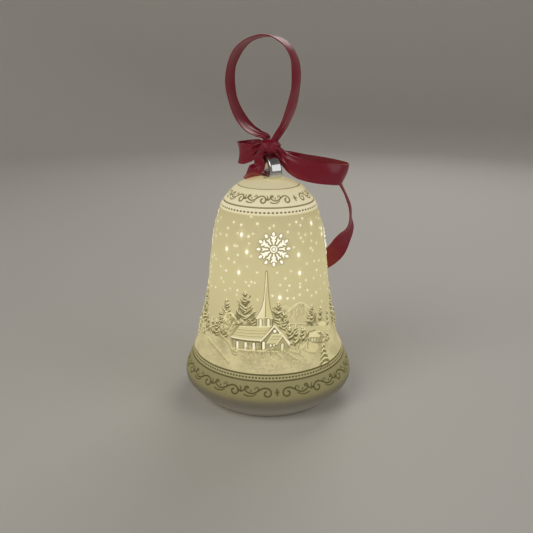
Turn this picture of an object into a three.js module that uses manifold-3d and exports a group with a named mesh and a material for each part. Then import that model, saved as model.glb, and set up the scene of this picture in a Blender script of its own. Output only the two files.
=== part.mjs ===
// Porcelain bell ornament lit from inside: an open bell shell standing over a
// plug-in battery light, a polished eye on the crown and a satin ribbon bow.
// Millimetres, +Z up. The origin is the centre of the ring the bell stands on,
// and the relief scene (the front of the bell) faces -Y.
import * as THREE from 'three';
import { mergeVertices } from 'three/addons/utils/BufferGeometryUtils.js';
import Module from 'manifold-3d';

const wasm = await Module();
wasm.setup();

// ---------- driving dimensions ----------
const SHELL_SEG = 48;          // facets round the bell
const CROWN_HOLE_R = 2.8;      // hole in the crown for the hanger's shank
const FOOT_BORE_R = 31.4;      // counterbore in the foot for the light's flange
const FOOT_NECK_R = 29.8;      // neck of the foot that the grip ring bears on
const FOOT_STEP_Z = 2.2;       // height of the counterbore
const GROOVE = 0.35;           // depth of the four ruled grooves

const EYE_ANGLE = -62;         // direction of the eye's plane about Z, degrees
const EYE_BASE_Z = 111.6;      // underside of the eye's foot
const EYE_R = 8.0;             // outer radius of the arch
const EYE_BAR = 2.8;           // radial thickness of the bar
const EYE_WIDTH = 6.4;         // width of the bar across its plane
const EYE_LEG = 3.0;           // straight part below the arch
const SHANK_R = 2.4;
const SHANK_BOTTOM_Z = 99.5;

const RIBBON_T = 0.8;          // thickness of the plain ribbon solids

const UNIT_Z = 0.6;            // underside of the light unit
const FLANGE_R = 31.0;
const HOUSING_R = 28.2;
const HOUSING_TOP = 13.1;
const POCKET_R = 10.4;         // battery pocket
const DOOR_R = 12.6;
const DOOR_HOLE_R = 13.0;
const SWITCH_Y = -20.0;
const SWITCH_TRAVEL = 3.0;

// ---------- helpers ----------
function clean(g) {
  g.deleteAttribute('normal');
  g.deleteAttribute('uv');
  const m = mergeVertices(g, 1e-4);
  const p = m.getAttribute('position'), idx = m.index.array, out = [];
  for (let i = 0; i < idx.length; i += 3) {
    const a = idx[i], b = idx[i + 1], c = idx[i + 2];
    if (a !== b && b !== c && c !== a) out.push(a, b, c);
  }
  m.setIndex(out);
  if (volume(m) < 0) {
    for (let i = 0; i < out.length; i += 3) [out[i + 1], out[i + 2]] = [out[i + 2], out[i + 1]];
    m.setIndex(out);
  }
  return m;
}
function volume(g) {
  const p = g.getAttribute('position').array, t = g.index.array;
  let v = 0;
  for (let i = 0; i < t.length; i += 3) {
    const a = 3 * t[i], b = 3 * t[i + 1], c = 3 * t[i + 2];
    v += p[a] * (p[b + 1] * p[c + 2] - p[b + 2] * p[c + 1])
       - p[a + 1] * (p[b] * p[c + 2] - p[b + 2] * p[c])
       + p[a + 2] * (p[b] * p[c + 1] - p[b + 1] * p[c]);
  }
  return v / 6;
}
// profile: [[r, z], ...]; closed adds the first point again at the end
function lathe(profile, seg = 32, closed = true) {
  const pts = profile.map(([r, z]) => new THREE.Vector2(r, z));
  if (closed) pts.push(pts[0].clone());
  return clean(new THREE.LatheGeometry(pts, seg).rotateX(Math.PI / 2));
}
function disc(r, z0, z1, seg = 32) {
  return clean(new THREE.CylinderGeometry(r, r, z1 - z0, seg).rotateX(Math.PI / 2).translate(0, 0, (z0 + z1) / 2));
}
function tube(r0, r1, z0, z1, seg = 32) {
  return lathe([[r0, z0], [r1, z0], [r1, z1], [r0, z1]], seg);
}
function box(x0, x1, y0, y1, z0, z1) {
  return clean(new THREE.BoxGeometry(x1 - x0, y1 - y0, z1 - z0)
    .translate((x0 + x1) / 2, (y0 + y1) / 2, (z0 + z1) / 2));
}
function toMan(g) {
  return new wasm.Manifold(new wasm.Mesh({
    numProp: 3,
    vertProperties: new Float32Array(g.getAttribute('position').array),
    triVerts: new Uint32Array(g.index.array),
  }));
}
function fromMan(m) {
  const mesh = m.getMesh();
  const g = new THREE.BufferGeometry();
  g.setAttribute('position', new THREE.BufferAttribute(new Float32Array(mesh.vertProperties), 3));
  g.setIndex([...mesh.triVerts]);
  return g;
}
function cut(base, ...tools) {
  let m = toMan(base);
  for (const t of tools) m = m.subtract(toMan(t));
  return fromMan(m);
}
function join(base, ...others) {
  let m = toMan(base);
  for (const t of others) m = m.add(toMan(t));
  return fromMan(m);
}
// A ribbon: a thin closed band swept along stations [x, y, z, wx, wy, wz, width].
function ribbon(stations, n) {
  const P = stations.map((s) => new THREE.Vector3(s[0], s[1], s[2]));
  const curve = new THREE.CatmullRomCurve3(P, false, 'centripetal');
  const k = stations.length - 1;
  const pos = [], idx = [];
  for (let i = 0; i <= n; i++) {
    const u = i / n, f = u * k, j = Math.min(Math.floor(f), k - 1), a = f - j;
    const c = curve.getPoint(u), t = curve.getTangent(u);
    const w = new THREE.Vector3(...[3, 4, 5].map((q) => stations[j][q] * (1 - a) + stations[j + 1][q] * a));
    const half = (stations[j][6] * (1 - a) + stations[j + 1][6] * a) / 2;
    w.addScaledVector(t, -w.dot(t)).normalize();
    const b = new THREE.Vector3().crossVectors(t, w).normalize();
    for (const [sw, sb] of [[-1, -1], [1, -1], [1, 1], [-1, 1]]) {
      const v = c.clone().addScaledVector(w, sw * half).addScaledVector(b, sb * RIBBON_T / 2);
      pos.push(v.x, v.y, v.z);
    }
  }
  const q = (a, b, c, d) => idx.push(a, b, c, a, c, d);
  for (let i = 0; i < n; i++) for (let s = 0; s < 4; s++) {
    const a = 4 * i + s, b = 4 * i + (s + 1) % 4;
    q(a, b, b + 4, a + 4);
  }
  q(3, 2, 1, 0);
  q(4 * n, 4 * n + 1, 4 * n + 2, 4 * n + 3);
  const g = new THREE.BufferGeometry();
  g.setAttribute('position', new THREE.BufferAttribute(new Float32Array(pos), 3));
  g.setIndex(idx);
  if (volume(g) < 0) g.setIndex(idx.map((_, i) => idx[i - (i % 3) + [0, 2, 1][i % 3]]));
  return g;
}

const group = new THREE.Group();
function add(name, geometry, color, roughness, metalness, extra = {}) {
  geometry.computeVertexNormals();
  const mesh = new THREE.Mesh(geometry, new THREE.MeshStandardMaterial({ color, roughness, metalness, ...extra }));
  mesh.name = name;
  group.add(mesh);
  return mesh;
}

// ---------- bell shell ----------
// Outer wall from the crown hole to the foot, with the ruled grooves of the two
// ornamental bands, then the foot bores and the inner wall back to the crown.
const shellProfile = [
  [CROWN_HOLE_R, 111.25], [6.0, 110.95], [9.5, 110.3], [12.4, 109.35], [14.35, 108.5],
  [14.75 - GROOVE, 108.0], [15.3, 107.85],
  [17.4, 106.2], [19.5, 104.1], [21.3, 101.75],
  [22.0 - GROOVE, 100.8], [22.45, 100.2],
  [23.7, 97.7], [25.1, 93.6], [26.7, 87.8], [28.1, 78.9], [29.3, 70.2],
  [30.1, 61.8], [31.15, 52.8], [32.35, 44.3], [33.45, 37.4],
  [34.4, 33.6], [35.75, 29.6], [37.85, 25.1],
  [38.2 - GROOVE, 24.4], [38.6, 23.8], [39.25, 22.35], [39.5 - GROOVE, 21.8], [39.95, 21.2],
  [41.4, 18.0], [42.5, 15.0], [43.0, 12.2], [42.7, 10.0], [41.5, 7.9], [39.2, 5.6],
  [36.9, 3.5], [34.8, 1.3], [33.6, 0.0],
  [FOOT_BORE_R, 0.0], [FOOT_BORE_R, FOOT_STEP_Z], [FOOT_NECK_R, FOOT_STEP_Z], [FOOT_NECK_R, 6.0],
  [33.6, 6.9], [37.5, 9.5], [39.8, 12.0], [40.0, 14.2], [38.9, 17.6], [36.2, 23.2],
  [33.4, 29.0], [31.8, 33.6], [30.4, 40.0], [28.4, 54.0], [27.0, 67.6],
  [24.9, 83.4], [22.9, 92.4], [20.6, 98.0], [17.6, 102.0], [13.4, 105.4],
  [8.0, 107.8], [CROWN_HOLE_R, 108.6],
];
add('bell_shell', lathe(shellProfile, SHELL_SEG), 0xe9e2c6, 0.75, 0.0);

// ---------- hanger ----------
const eyeAxis = THREE.MathUtils.degToRad(EYE_ANGLE);
const shape = new THREE.Shape();
shape.moveTo(-EYE_R, 0);
shape.lineTo(EYE_R, 0);
shape.lineTo(EYE_R, EYE_LEG);
shape.absarc(0, EYE_LEG, EYE_R, 0, Math.PI, false);
shape.lineTo(-EYE_R, 0);
const inner = EYE_R - EYE_BAR, hole = new THREE.Path();
hole.moveTo(-inner, 2.2);
hole.lineTo(-inner, EYE_LEG);
hole.absarc(0, EYE_LEG, inner, Math.PI, 0, true);
hole.lineTo(inner, 2.2);
hole.lineTo(-inner, 2.2);
shape.holes.push(hole);
const eyeBand = clean(new THREE.ExtrudeGeometry(shape, {
  depth: EYE_WIDTH - 1.2, bevelEnabled: true, bevelThickness: 0.6, bevelSize: 0.6, bevelOffset: -0.6,
  bevelSegments: 1, curveSegments: 16,
}).translate(0, 0, -(EYE_WIDTH - 1.2) / 2).rotateX(Math.PI / 2).rotateZ(eyeAxis).translate(0, 0, EYE_BASE_Z));
add('hanger_eye', join(eyeBand, disc(SHANK_R, SHANK_BOTTOM_Z, EYE_BASE_Z + 1.1, 28)), 0xc9c9c6, 0.12, 1.0);
add('hanger_seal_washer', tube(2.7, 6.0, 106.3, 107.7, 36), 0xd8d6cf, 0.7, 0.0);
add('hanger_steel_washer', tube(2.7, 6.6, 104.9, 106.0, 36), 0xb9bbbd, 0.35, 1.0);
const hex = new THREE.Shape(Array.from({ length: 6 }, (_, i) => new THREE.Vector2(
  4.62 * Math.cos(i * Math.PI / 3), 4.62 * Math.sin(i * Math.PI / 3))));
hex.holes.push(new THREE.Path().absarc(0, 0, 2.7, 0, 2 * Math.PI, true));
add('hanger_nut', clean(new THREE.ExtrudeGeometry(hex, { depth: 3.2, bevelEnabled: false, curveSegments: 14 })
  .translate(0, 0, 101.4)), 0xb2b4b6, 0.35, 1.0);

// ---------- ribbon ----------
const RED = 0x9c1230;
const across = (g) => g.rotateZ(eyeAxis);
const knotBody = clean(new THREE.SphereGeometry(1, 22, 14).scale(5.2, 4.2, 3.7).rotateX(0).translate(0.3, 0, 126.2));
const knotCut = across(box(-9, 9, -3.5, 3.5, 118, 122.9));
const wrapOuter = across(box(-2.2, 2.2, -4.4, 4.4, 118.2, 125.4));
const wrapInner = across(box(-3.0, 3.0, -3.5, 3.5, 119.0, 122.9));
add('ribbon_knot', cut(join(knotBody, wrapOuter), knotCut, wrapInner), RED, 0.45, 0.0);

add('bow_loop_right', ribbon([
  [6.2, -1.6, 121.4, 0, 0, 1, 6], [10, -4.4, 118.6, 0, 0.05, 1, 8.2], [15, -6.4, 116.4, 0, 0.1, 1, 9.6],
  [22, -7.4, 114.9, 0.05, 0.12, 1, 10], [29, -6.6, 114, 0.12, 0.12, 1, 10], [34.6, -3.6, 113.3, 0.25, 0.1, 1, 10],
  [37.2, 0.8, 113, 0.32, 0, 1, 10], [36.9, 5.2, 113.2, 0.28, -0.05, 1, 10], [33.6, 8.6, 113.9, 0.18, -0.1, 1, 10],
  [28, 9.9, 114.9, 0.08, -0.12, 1, 10], [21, 9.4, 116, 0, -0.12, 1, 10], [14, 7, 117.6, 0, -0.1, 1, 9.6],
  [9.8, 4.4, 119.4, 0, -0.05, 1, 8.2], [6.2, 1.7, 121.4, 0, 0, 1, 6]], 40), RED, 0.45, 0.0);
add('bow_loop_left', ribbon([
  [-6.1, 0.3, 124.4, 0, 0, 1, 6], [-9, 1.6, 122.9, 0, 0.05, 1, 8.4], [-12.6, 5.2, 122, 0.05, 0.05, 1, 10],
  [-14.9, 10.2, 121.8, -0.05, 0, 1, 10], [-14.6, 15.6, 121.8, -0.05, 0, 1, 10], [-11.4, 18.9, 121.9, 0, 0, 1, 10],
  [-7.6, 18.3, 122.4, 0, 0, 1, 10], [-5, 14.2, 123, 0, 0, 1, 10], [-3.2, 9.4, 124, 0, 0, 1, 8.4], [-2.4, 5.3, 125, 0, 0, 1, 6]], 32), RED, 0.45, 0.0);
add('bow_tail_right', ribbon([
  [6.6, 5.8, 120.9, 0, 0.1, 1, 6.0], [12.4, 11.4, 117.4, 0, 0.05, 1, 8.5], [19.6, 14.8, 115.2, 0.05, 0.15, 0.97, 10],
  [27.0, 16.4, 113.0, 0.15, 0.7, 0.7, 10], [34.4, 15.8, 109.4, 0.16, 0.97, 0.1, 10], [37.4, 15.4, 104.3, 0.14, 0.97, -0.1, 10],
  [39.8, 15.2, 99.4, 0.14, 0.97, -0.12, 10], [41.8, 15.2, 94.2, 0.14, 0.97, -0.16, 10], [42.5, 15.6, 88.8, 0.14, 0.97, -0.2, 10],
  [42.3, 16.6, 83.3, 0.18, 0.96, -0.18, 10], [41.1, 18.3, 79.1, 0.45, 0.86, -0.25, 10], [39.0, 20.8, 73.7, 0.8, 0.4, -0.45, 10],
  [36.6, 24.0, 67.6, 0.76, 0, -0.65, 10], [32.8, 28.0, 62.2, 0.62, 0, -0.78, 10], [28.2, 31.4, 58.2, 0.5, -0.05, -0.86, 10],
  [23.6, 33.8, 55.4, 0.42, -0.1, -0.9, 10]], 44), RED, 0.45, 0.0);
add('bow_tail_left', ribbon([
  [-4.9, -2.7, 121.2, 0.55, -0.8, 0, 5.4], [-4.6, -3.5, 117.6, 0.8, -0.5, 0.1, 6.4], [-7.6, -3.3, 114.3, 0.93, 0.1, 0.2, 7.2],
  [-9.1, 1.2, 113.3, 0.75, 0, 0.62, 7.6], [-9.5, 5.8, 113, 0.55, 0, 0.82, 7.8], [-8.8, 10.6, 111.7, 0.8, 0, 0.55, 8.8],
  [-7.7, 15.3, 109, 0.93, 0, 0.35, 9.6], [-7.4, 19.7, 105, 0.96, 0.05, 0.22, 10], [-7.8, 22.9, 100.5, 1, 0.1, 0.08, 10],
  [-8.4, 25.6, 95, 1, 0.1, 0, 10], [-9, 27.9, 87.5, 0.99, 0.15, 0, 10], [-9.6, 29.6, 79.5, 0.99, 0.15, 0, 10],
  [-10, 31, 71, 0.99, 0.15, 0, 10], [-10.4, 32.2, 62.5, 0.99, 0.15, 0, 10]], 40), RED, 0.45, 0.0);
add('hanging_loop', ribbon([
  [-1.4, 0.4, 130.6, 0.5, 0.85, 0, 6.0], [-5.4, 0.6, 132.4, 0.45, 0.87, 0.1, 8], [-9.3, 0.8, 134.7, 0.4, 0.88, 0.12, 10],
  [-13.0, 1, 138.9, 0.38, 0.9, 0.12, 10], [-15.8, 1, 144.2, 0.35, 0.92, 0.1, 10], [-17.6, 1, 149.9, 0.34, 0.93, 0.05, 10],
  [-18.3, 1, 156.6, 0.34, 0.93, 0, 10], [-17.3, 1, 163.7, 0.34, 0.93, 0, 10], [-14.2, 1, 169.8, 0.34, 0.93, 0, 10],
  [-9.3, 1, 174.1, 0.34, 0.93, 0, 10], [-3.4, 1, 176.0, 0.34, 0.93, 0, 10], [3.0, 1, 175.3, 0.34, 0.93, 0, 10],
  [8.5, 1, 171.9, 0.34, 0.93, 0, 10], [11.7, 1, 166.2, 0.38, 0.92, 0, 10], [12.7, 1, 160.1, 0.4, 0.9, 0, 10],
  [12.6, 1, 153.8, 0.42, 0.9, 0, 10], [11.5, 1, 147.5, 0.44, 0.89, 0, 10], [9.6, 0.8, 141.2, 0.46, 0.88, 0, 10],
  [7.1, 0.6, 135.6, 0.46, 0.88, 0, 8.6], [3.9, 0.2, 130.9, 0.5, 0.85, 0, 6.0]], 52), RED, 0.45, 0.0);

// ---------- light unit ----------
const WHITE = 0xe8e6df;
const bossAngles = [30, 150, 270].map((d) => THREE.MathUtils.degToRad(d + 30));
const bossAt = (g, a) => g.translate(23.0 * Math.cos(a), 23.0 * Math.sin(a), 0);
const housing = lathe([
  [DOOR_HOLE_R, UNIT_Z], [FLANGE_R - 0.5, UNIT_Z], [FLANGE_R, UNIT_Z + 0.5], [FLANGE_R, 1.9], [HOUSING_R, 1.9],
  [HOUSING_R, 3.0], [27.3, 3.0], [27.3, 5.4], [HOUSING_R, 5.4], [HOUSING_R, HOUSING_TOP],
  [26.6, HOUSING_TOP], [26.6, 2.6], [16.0, 2.6], [16.0, 3.6], [12.0, 3.6], [12.0, 9.4], [POCKET_R, 9.4],
  [POCKET_R, 2.4], [DOOR_HOLE_R, 2.4], [DOOR_HOLE_R, 1.95], [14.4, 1.95], [14.4, 1.0], [DOOR_HOLE_R, 1.0],
], 44);
const bosses = bossAngles.map((a) => bossAt(disc(2.3, 2.3, HOUSING_TOP, 14), a));
const bossHoles = bossAngles.map((a) => bossAt(disc(1.3, 6.0, HOUSING_TOP + 1, 12), a));
const doorNotches = [45, 225].map((d) => box(12.0, 14.4, -1.9, 1.9, 0.2, 1.5).rotateZ(THREE.MathUtils.degToRad(d)));
const switchSlot = box(-3.2, 3.2, SWITCH_Y - 1.3, SWITCH_Y + 1.3, 0.2, 3.0);
add('light_housing', cut(join(housing, ...bosses), ...bossHoles, ...doorNotches, switchSlot), WHITE, 0.5, 0.0);
add('grip_ring', lathe([
  [27.6, 3.3], [29.0, 3.3], [29.5, 3.8], [29.5, 4.6], [29.0, 5.1], [27.6, 5.1],
], 44), 0xb9b6ac, 0.8, 0.0);

const cover = lathe([
  [9.1, 13.4], [25.1, 13.4], [25.1, 12.2], [26.3, 12.2], [26.3, 13.4], [HOUSING_R, 13.4], [HOUSING_R, 14.3],
  [HOUSING_R - 0.5, 14.8], [10.9, 14.8], [10.4, 15.8], [9.1, 15.8],
], 44);
add('light_cover', cut(cover, ...bossAngles.map((a) => bossAt(disc(1.3, 12, 16, 12), a)),
  ...bossAngles.map((a) => bossAt(disc(3.0, 11.5, 13.4, 14), a))), WHITE, 0.45, 0.0);
add('light_diffuser', lathe([
  [0, 24.6], [2.6, 24.3], [4.9, 23.5], [7.0, 21.8], [8.3, 19.6], [8.8, 17.0], [8.8, 13.1], [10.6, 13.1], [10.6, 12.1],
  [7.8, 12.1], [7.8, 16.9], [7.3, 19.2], [6.2, 21.2], [4.3, 22.7], [2.3, 23.4], [0, 23.6],
], 28, false), 0xf4ecd2, 0.35, 0.0);
add('led_board', cut(disc(19.9, 10.6, 11.8, 44), ...[0, 120, 240].map((d) =>
  disc(1.4, 10, 12.5, 14).translate(17.4 * Math.cos(d * Math.PI / 180), 17.4 * Math.sin(d * Math.PI / 180), 0))), 0x1f5a36, 0.5, 0.0);
add('led_emitter', lathe([
  [0, 12.1], [2.9, 12.1], [2.9, 13.1], [2.5, 13.1], [2.5, 18.2], [2.2, 19.4], [1.4, 20.3], [0, 20.7],
], 24, false), 0xfff3cf, 0.15, 0.0);
const contactBar = box(-7.5, 7.5, -2.2, 2.2, 9.6, 10.3);
add('negative_contact', join(contactBar, disc(3.4, 9.6, 10.3, 24)), 0xcfc59a, 0.3, 1.0);
const cell = (z) => lathe([[0, z], [8.6, z], [8.8, z + 0.35], [9.8, z + 0.35], [10.0, z + 0.65], [10.0, z + 3.0], [9.8, z + 3.2], [0, z + 3.2]], 28, false);
add('coin_cell_lower', cell(2.7), 0xc8c9ca, 0.28, 1.0);
add('coin_cell_upper', cell(6.2), 0xc8c9ca, 0.28, 1.0);
add('positive_contact', disc(6.8, 1.95, 2.4, 32), 0xcfc59a, 0.3, 1.0);
const tabs = [0, 180].map((d) => box(11.6, 14.15, -1.5, 1.5, 1.15, 1.65).rotateZ(THREE.MathUtils.degToRad(d)));
add('battery_door', cut(join(disc(DOOR_R, UNIT_Z + 0.1, 1.65, 48), ...tabs), box(-7.5, 7.5, -0.9, 0.9, 0.2, 1.2)), 0xdedcd4, 0.5, 0.0);
const switchBody = cut(box(-5.2, 5.2, SWITCH_Y - 2.6, SWITCH_Y + 2.6, 3.0, 7.2),
  box(-3.3, 3.3, SWITCH_Y - 1.5, SWITCH_Y + 1.5, 2.5, 6.4));
add('switch_body', switchBody, 0x2c2c2e, 0.45, 0.0);
// drawn in its lit position, at the +X end of its travel
const sx = SWITCH_TRAVEL / 2;
add('switch_slider', join(box(sx - 1.2, sx + 1.2, SWITCH_Y - 1.0, SWITCH_Y + 1.0, 0.9, 5.0),
  box(sx - 1.5, sx + 1.5, SWITCH_Y - 1.2, SWITCH_Y + 1.2, 4.0, 6.0)), 0x1d1d1f, 0.5, 0.0);
bossAngles.forEach((a, i) => add(`cover_screw_${i + 1}`,
  bossAt(cut(lathe([[0, 7.0], [0.95, 7.0], [0.95, 15.1], [2.0, 15.1], [2.0, 15.8], [1.5, 16.3], [0, 16.4]], 14, false),
    box(-1.3, 1.3, -0.22, 0.22, 15.8, 17), box(-0.22, 0.22, -1.3, 1.3, 15.8, 17)), a), 0xb5b7b9, 0.3, 1.0));

export default group;
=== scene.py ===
# A bisque porcelain bell lit from inside, with its polished eye, satin bow and
# plug-in light. Lengths in the tables are millimetres; the scene is in metres.
import math
import bpy
import numpy as np
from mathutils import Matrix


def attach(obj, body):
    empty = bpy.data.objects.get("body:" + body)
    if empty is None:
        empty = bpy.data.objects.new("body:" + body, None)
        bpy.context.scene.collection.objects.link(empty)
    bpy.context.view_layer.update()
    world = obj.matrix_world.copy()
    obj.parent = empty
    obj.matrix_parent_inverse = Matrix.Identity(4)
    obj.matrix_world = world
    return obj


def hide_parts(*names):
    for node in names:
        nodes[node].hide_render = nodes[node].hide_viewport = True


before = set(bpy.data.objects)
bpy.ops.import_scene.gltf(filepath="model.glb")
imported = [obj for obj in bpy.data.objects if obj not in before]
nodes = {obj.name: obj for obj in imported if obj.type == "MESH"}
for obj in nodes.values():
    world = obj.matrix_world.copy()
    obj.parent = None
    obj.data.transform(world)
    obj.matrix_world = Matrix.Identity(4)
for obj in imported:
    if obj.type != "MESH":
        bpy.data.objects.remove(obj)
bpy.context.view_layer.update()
MM = 0.001
TAU = 2 * math.pi
rng = np.random.default_rng(12)

# (angle from the front in degrees, height in mm) of what is carved on the wall
FLAKES = [(-65.0, 93.9), (-40.1, 93.7), (-29.8, 93.1), (-19.4, 97.1), (-11.8, 94.2), (-46.7, 90.5), (-68.5, 87.8), (-57.8, 86.8), (-47.0, 87.2), (-32.8, 89.2), (-28.0, 88.8, 1), (-20.1, 88.4), (-15.6, 89.7), (-19.1, 85.2), (-34.8, 83.3), (-31.9, 83.4), (-44.7, 81.0, 1), (-21.0, 81.3, 1), (-16.4, 79.5), (-30.4, 79.3), (-40.9, 76.7), (-60.6, 74.2), (-33.7, 75.6), (1.0, 92.4), (5.4, 93.5), (22.4, 93.6), (19.7, 90.4), (30.8, 94.4), (39.6, 95.5), (35.3, 92.7), (51.8, 92.5, 1), (64.6, 94.0), (31.9, 89.1), (39.8, 88.1), (48.5, 88.1), (33.6, 87.1), (36.1, 85.2), (47.5, 84.7), (55.4, 82.8), (25.3, 83.3), (29.9, 79.5, 1), (45.3, 81.4), (48.1, 80.1), (49.0, 74.8), (38.7, 74.6), (56.7, 74.2), (-51.2, 71.9), (-42.9, 70.8), (-20.0, 74.6), (-28.1, 71.3, 1), (-10.3, 72.2), (-49.1, 66.4), (-45.5, 64.9), (-32.3, 66.3), (-20.5, 67.2), (-15.4, 67.6), (-17.5, 65.7), (-12.2, 67.2), (-36.8, 62.8), (-42.7, 61.2), (-28.7, 62.7), (-57.2, 60.6), (-29.3, 60.4), (7.9, 72.2), (21.2, 72.4), (29.9, 71.0, 1), (15.5, 69.3), (51.5, 70.2), (36.4, 67.0), (46.4, 66.8), (57.9, 66.5), (10.6, 66.3), (19.2, 65.7), (29.9, 65.9), (29.8, 64.3), (17.1, 63.5), (37.9, 62.0), (48.8, 59.5), (56.1, 60.4), (3.7, 61.4), (10.2, 60.4, 1), (17.2, 59.7), (23.1, 59.4), (29.1, 60.6), (42.6, 58.7), (56.9, 53.8), (-9.4, 59.4), (64.9, 61.8)]
VILLAGE = {
    'steeple_l': [(-1.6, 72.7), (-2.4, 65.9), (-3.2, 60.0), (-4.8, 55.8), (-7.2, 53.1), (-10.1, 50.5), (-2.4, 51.1), (-2.2, 60.0), (-1.8, 65.9)],
    'steeple_r': [(-1.6, 72.7), (-1.8, 65.9), (-2.2, 60.0), (-2.4, 51.1), (3.8, 50.7), (2.5, 53.4), (1.1, 55.8), (0.0, 60.0), (-0.8, 65.9)],
    'ridge': [(-1.6, 72.4), (-1.8, 65.9), (-2.2, 60.0), (-2.4, 51.2)],
    'belfry_l': [(-9.6, 50.4), (-2.8, 50.8), (-2.7, 45.0), (-9.4, 44.8)],
    'belfry_r': [(-2.6, 50.8), (3.4, 50.6), (3.3, 47.5), (-1.3, 45.4), (-2.5, 45.0)],
    'bwin_l': [(-6.4, 49.9), (-6.3, 46.1)],
    'bwin_r': [(0.2, 50.1), (0.2, 47.0)],
    'roof': [(-24.4, 45.9), (-9.5, 46.4), (3.1, 47.1), (-5.9, 40.5), (-31.2, 40.2)],
    'plank1': [(-26.3, 44.2), (-1.3, 45.0)],
    'plank2': [(-27.8, 42.8), (-2.3, 43.6)],
    'plank3': [(-29.4, 41.5), (-4.0, 42.0)],
    'eave': [(-31.6, 39.9), (-5.9, 40.2)],
    'wall': [(-30.5, 39.4), (-5.8, 39.6), (-5.7, 35.6), (-28.2, 35.0)],
    'gable': [(5.2, 46.1), (-4.9, 39.8), (-4.8, 35.8), (8.7, 35.5), (15.4, 35.6), (15.4, 38.9)],
    'barge_l': [(-5.9, 39.9), (5.2, 47.1)],
    'barge_r': [(5.2, 47.1), (17.7, 38.4)],
    'gwin': [(5.5, 44.6)],
    'nwins': [[(-25.3, 38.0), (-24.9, 35.4)], [(-18.2, 38.2), (-17.9, 35.5)], [(-11.5, 38.3), (-11.3, 35.7)], [(-3.6, 39.1), (-3.6, 36.4)]],
    'porch_roof': [(3.4, 43.2), (11.8, 43.2), (6.7, 38.9), (-0.7, 39.0)],
    'prl1': [(2.4, 42.1), (10.3, 42.1)],
    'prl2': [(1.2, 40.9), (9.0, 40.8)],
    'porch_l': [(6.6, 38.4), (12.0, 42.4)],
    'porch_r': [(12.0, 42.4), (17.2, 37.5)],
    'porch_wall': [(11.9, 41.2), (7.2, 38.0), (7.1, 35.5), (15.7, 35.5), (15.9, 37.7)],
    'pdoor': [(11.2, 38.2), (10.9, 35.6)],
    'pwin': [[(2.0, 38.2), (2.0, 37.7)], [(4.8, 38.2), (4.8, 37.7)]],
    'shouse_roof': [(36.7, 41.5), (43.2, 41.4), (48.1, 38.4), (46.4, 37.5), (34.7, 39.4)],
    'shouse_wall': [(35.2, 39.1), (46.4, 37.3), (45.5, 35.2), (34.7, 36.9)],
    'shouse_gable': [(50.2, 39.6), (54.5, 36.3), (53.1, 34.0), (45.5, 35.2), (46.5, 37.8)],
    'swins': [[(38.5, 38.2), (38.3, 37.3)], [(41.5, 37.7), (41.2, 36.8)]],
    'srl': [(34.9, 39.0), (43.9, 40.9), (50.3, 39.9), (55.3, 35.8)],
    'mount': [(17.9, 53.2), (21.5, 55.3), (25.8, 56.5), (31.0, 56.6), (34.9, 55.2), (40.9, 52.0), (42.0, 50.0), (32.6, 49.1), (25.2, 50.2), (19.4, 51.3)],
    'mount_top': [(17.3, 53.5), (21.5, 55.3), (25.8, 56.5), (31.0, 56.6), (34.9, 55.2), (40.9, 52.0)],
    'mount2': [(9.6, 55.1), (12.9, 56.0), (16.5, 55.8), (18.5, 54.6)],
    'mline1': [(18.5, 53.7), (21.5, 55.0), (22.6, 53.8)],
    'mline2': [(30.3, 56.4), (28.8, 54.4), (31.2, 53.0)],
    'mline3': [(24.5, 55.7), (26.2, 54.0), (24.3, 52.7)],
    'horizon': [(18.0, 47.1), (27.2, 46.4), (38.7, 44.6), (53.2, 42.8), (70.7, 39.6)],
    'mound': [(46.4, 44.4), (50.9, 44.7), (55.8, 44.0), (60.8, 42.0), (58.0, 41.3), (49.5, 42.9)],
    'round': [(-34.8, 46.5)],
    'bush': [(-26.9, 33.2)],
    'path1': [(11.7, 35.3), (16.7, 33.4), (20.9, 31.3), (24.3, 29.9)],
    'path2': [(14.8, 35.2), (22.0, 33.7), (29.0, 30.9), (29.7, 29.6)],
    'path3': [(6.2, 35.0), (8.6, 33.5), (10.6, 32.0)],
    'hill1': [(-29.4, 33.8), (-27.8, 32.3), (-24.5, 32.5)],
    'hill2': [(-3.2, 35.0), (0.7, 35.9), (4.7, 34.7)],
    'hill3': [(-58.6, 34.3), (-46.1, 32.4), (-35.1, 29.6), (-30.8, 28.0)],
    'hill4': [(-44.1, 38.9), (-33.8, 36.8), (-29.4, 33.8)],
    'hill5': [(24.8, 36.7), (32.0, 37.1), (38.0, 35.5), (43.2, 34.1)],
    'hill6': [(27.9, 35.1), (34.3, 32.5), (40.3, 31.3)],
    'mounds_r': [(25.4, 37.2), (32.0, 37.3), (40.1, 35.7), (45.1, 33.4), (41.1, 31.5), (32.2, 33.4), (25.7, 35.7)],
}
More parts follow.
